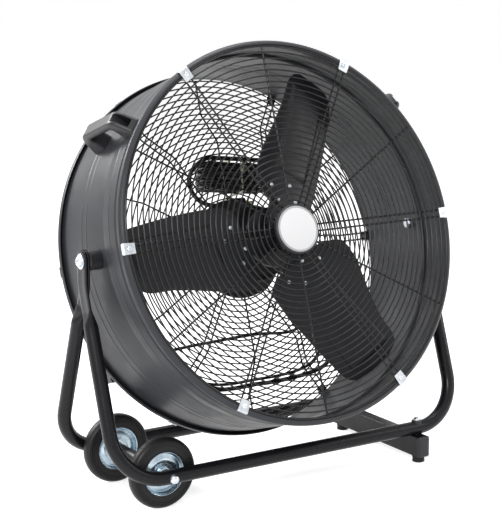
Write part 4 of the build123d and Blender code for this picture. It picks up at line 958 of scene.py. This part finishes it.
spindle = turned(boxFrame, [(0, 0.6), (thin, 0.6), (thin, end + 0.4), (thin - 0.55, end), (0, end)], 28)
makePiece("knob_fluted", [(knobSkirt, False, True, True), knobBar, spindle], blackPlastic, "knob",
          ["speed_knob"])
pointerPath = boxFrame[0] + np.linspace(5, 14, 4)[:, None] * upWay - outWay * 14.15
pointer = swept(pointerPath, boxySection(1.6, 0.5, 0.5, 16), boxFrame[1])
makePiece("knob_pointer", [pointer], printWhite, "knob")

# the strain relief: a collar and a tapered boot with grooves, down to the cord's own size
boot = dict(grooves=6, first=5.4, pitch=3.6, radius=7.0, taper=0.38)
bootLine = [(0, 0), (8, 0), (8, 3.2), (7.2, 4.2)]
for k in range(boot["grooves"]):
    at = boot["first"] + k * boot["pitch"]
    size = boot["radius"] - k * boot["taper"]
    bootLine += [(size, at), (size - 0.1, at + 1.9), (size - 1.0, at + 2.2), (size - 1.0, at + 3.2)]
bootLine += [(4.9, 28), (4.5, 29.5), (4.1, 30), (0, 30)]
bootFrame = (spotIn(drumFrame, -205.0, -192.0, -161.0), upWay, outWay, xWay)
makePiece("cord_boot", [turned(bootFrame, bootLine, 40)], blackPlastic, "drum", ["cord_gland"])

# plug: at each step along it, how high and how wide its squared-off section is, with four finger ribs
plugFrame = (spotIn(drumFrame, plug["x"], plug["up"], plug["depth"]), upWay, outWay, xWay)
at = np.array([0, 0, 1, 3, 4, 6, 7, 9, 10, 12, 14, 17, 20, 24, 25, 27, 28, 30, 31, 33, 34, 36, 37, 41,
               43, 44, 44])
tall = np.array([4, 9.4, 10, 10, 9, 9, 10.2, 10.2, 9.4, 9.4, 11, 16, 20, 21.6, 20.4, 20.4, 21.8, 21.8,
                 20.4, 20.4, 21.8, 21.8, 21, 21.6, 21, 20, 6])
wide = np.array([4, 9.6, 10.4, 10.4, 9.4, 9.4, 10.6, 10.6, 10, 10, 13, 19, 23.4, 25.4, 24.2, 24.2,
                 25.6, 25.6, 24.2, 24.2, 25.6, 25.6, 25, 25.6, 25, 24, 8])
plugPath = plugFrame[0] + (at[:, None] + np.arange(len(at))[:, None] * 0.002) * xWay
plugSection = boxySection(1.0, 1.0, 0.62, 48) * np.stack([tall, wide], axis=-1)[:, None]
makePiece("plug_body", [swept(plugPath, plugSection, upWay)], blackPlastic, "drum", ["cord_plug"])
prong = dict(apart=12.8, start=43.0, thick=4.8)
prongSteps = np.array([0, 0.01, 15.0, 16.4, 17.2])[:, None] + prong["start"]
prongSection = boxySection(prong["thick"], prong["thick"], 0.8, 28) * np.array(
    [1.0, 1.0, 1.0, 0.9, 0.5])[:, None, None]
prongs = [swept(spotIn(plugFrame, 0, across, prongSteps[:, 0]), prongSection, upWay)
          for across in (-prong["apart"] / 2, prong["apart"] / 2)]
makePiece("plug_prongs", prongs, brass)

# the tie: a flat strip round the hank's section, with its two ends twisted together in front
tie = dict(x=-2.0, half=34.6, front=5.9, back=-61.0, width=4.4, thick=1.0, corner=5.0,
           twistTurns=2.5, twistRadius=1.3, twistRise=16.0, twistLean=5.0, twistOut=1.6)
half, front, back = tie["half"], tie["front"], tie["back"]
tieLine = softLine([(0, front), (half, front), (half, back), (-half, back), (-half, front), (0, front)],
                   tie["corner"], 8)
tiePath = spotIn(hankFrame, tie["x"], tieLine[:, 0], tieLine[:, 1])
tieSection = boxySection(tie["thick"], tie["width"], 0.6, 20)
tieSkins = [swept(tiePath[:-1], tieSection, hankFrame[1], loop=True)]
twist = np.linspace(0, 1, 40)
for phase in (0, math.pi):
    turn = phase + twist * 2 * math.pi * tie["twistTurns"]
    twistPath = spotIn(hankFrame,
                       tie["x"] + tie["twistRadius"] * np.cos(turn) + tie["twistLean"] * twist,
                       tie["twistRise"] * twist,
                       front + tie["twistOut"] + tie["twistRadius"] * np.sin(turn))
    tieSkins.append(swept(twistPath, boxySection(0.9, 2.2, 0.7, 12), hankFrame[1]))
makePiece("tie_strip", tieSkins, tiePaper, "drum", ["cord_tie"])
print("fittings made")

# nodes that are shown as they come take a finish of their own
nodeFinish = {"hub_spider": bladePaint, "switch_box": blackPlastic, "switch_lid": blackPlastic}
for name, finish in nodeFinish.items():
    node = frame["nodes"][name]
    node.data.materials.clear()
    node.data.materials.append(finish)
print("nodes finished")

tuple(drumPoints([(-205, -168, -161)])[0])
tuple(drumPoints([(-205, -178, -161)])[0])

# floor, world and lamps
studio = dict(floor=(0.74, 0.74, 0.74), worldStrength=0.36, floorReach=14.0, floorGlow=0.70)


def mathNode(tree, operation, feeds, settings=None):
    node = addNode(tree, "Math", settings, feeds)
    node.operation = operation
    return node.outputs[0]


def seenDirectly(tree):
    # one for a ray from the camera, off a glossy surface or through glass, and nothing for the rest
    ray = addNode(tree, "LightPath").outputs
    total = mathNode(tree, "MAXIMUM", {0: ray["Is Camera Ray"], 1: ray["Is Glossy Ray"]})
    return mathNode(tree, "MAXIMUM", {0: total, 1: ray["Is Transmission Ray"]})


floorMesh = bpy.data.meshes.new("floor")
reach = studio["floorReach"]
floorMesh.from_pydata([(-reach, -reach, 0), (reach, -reach, 0), (reach, reach, 0), (-reach, reach, 0)], [],
                      [(0, 1, 2, 3)])
floor = bpy.data.objects.new("floor", floorMesh)
bpy.context.scene.collection.objects.link(floor)
floorPaint = bpy.data.materials.new("floorPaint")
floorPaint.use_nodes = True
floorTree = floorPaint.node_tree
floorShader = floorTree.nodes["Principled BSDF"]
floorShader.inputs["Base Color"].default_value = (*studio["floor"], 1)
floorShader.inputs["Roughness"].default_value = 0.9
floorShader.inputs["Specular IOR Level"].default_value = 0.1
glowing = mathNode(floorTree, "MULTIPLY", {0: seenDirectly(floorTree)}, {1: studio["floorGlow"]})
glow = addNode(floorTree, "Emission", {"Color": (1, 1, 1, 1)}, {"Strength": glowing})
together = addNode(floorTree, "AddShader", feeds={0: floorShader.outputs[0], 1: glow.outputs[0]})
floorTree.links.new(together.outputs[0], floorTree.nodes["Material Output"].inputs["Surface"])
floorMesh.materials.append(floorPaint)

world = bpy.context.scene.world or bpy.data.worlds.new("studio")
bpy.context.scene.world = world
world.use_nodes = True
worldTree = world.node_tree
backdrop = worldTree.nodes["Background"]
backdrop.inputs["Color"].default_value = (1, 1, 1, 1)
worldSeen = addNode(worldTree, "MapRange", {"To Min": studio["worldStrength"], "To Max": 1.0},
                    {"Value": seenDirectly(worldTree)})
worldTree.links.new(worldSeen.outputs["Result"], backdrop.inputs["Strength"])


def softLamp(name, spot, aim, size, power):
    data = bpy.data.lights.new(name, "AREA")
    data.shape = "RECTANGLE"
    data.size, data.size_y = size
    data.energy = power
    lamp = bpy.data.objects.new(name, data)
    bpy.context.scene.collection.objects.link(lamp)
    lamp.location = spot
    lamp.rotation_mode = "QUATERNION"
    lamp.rotation_quaternion = (Vector(aim) - Vector(spot)).to_track_quat("-Z", "Y")


softLamp("keyLamp", (-2.6, -2.4, 2.4), (0, 0, 0.5), (1.4, 1.0), 78)
softLamp("sideLamp", (2.8, -1.6, 1.6), (0, 0, 0.4), (0.8, 1.6), 30)
softLamp("topLamp", (0.2, 0.6, 3.2), (0, 0, 0.4), (2.0, 2.0), 60)
softLamp("backLamp", (-1.6, 2.6, 2.2), (-0.2, 0, 0.6), (1.0, 1.0), 115)
bpy.context.scene.view_settings.view_transform = "Standard"
print("studio lit")
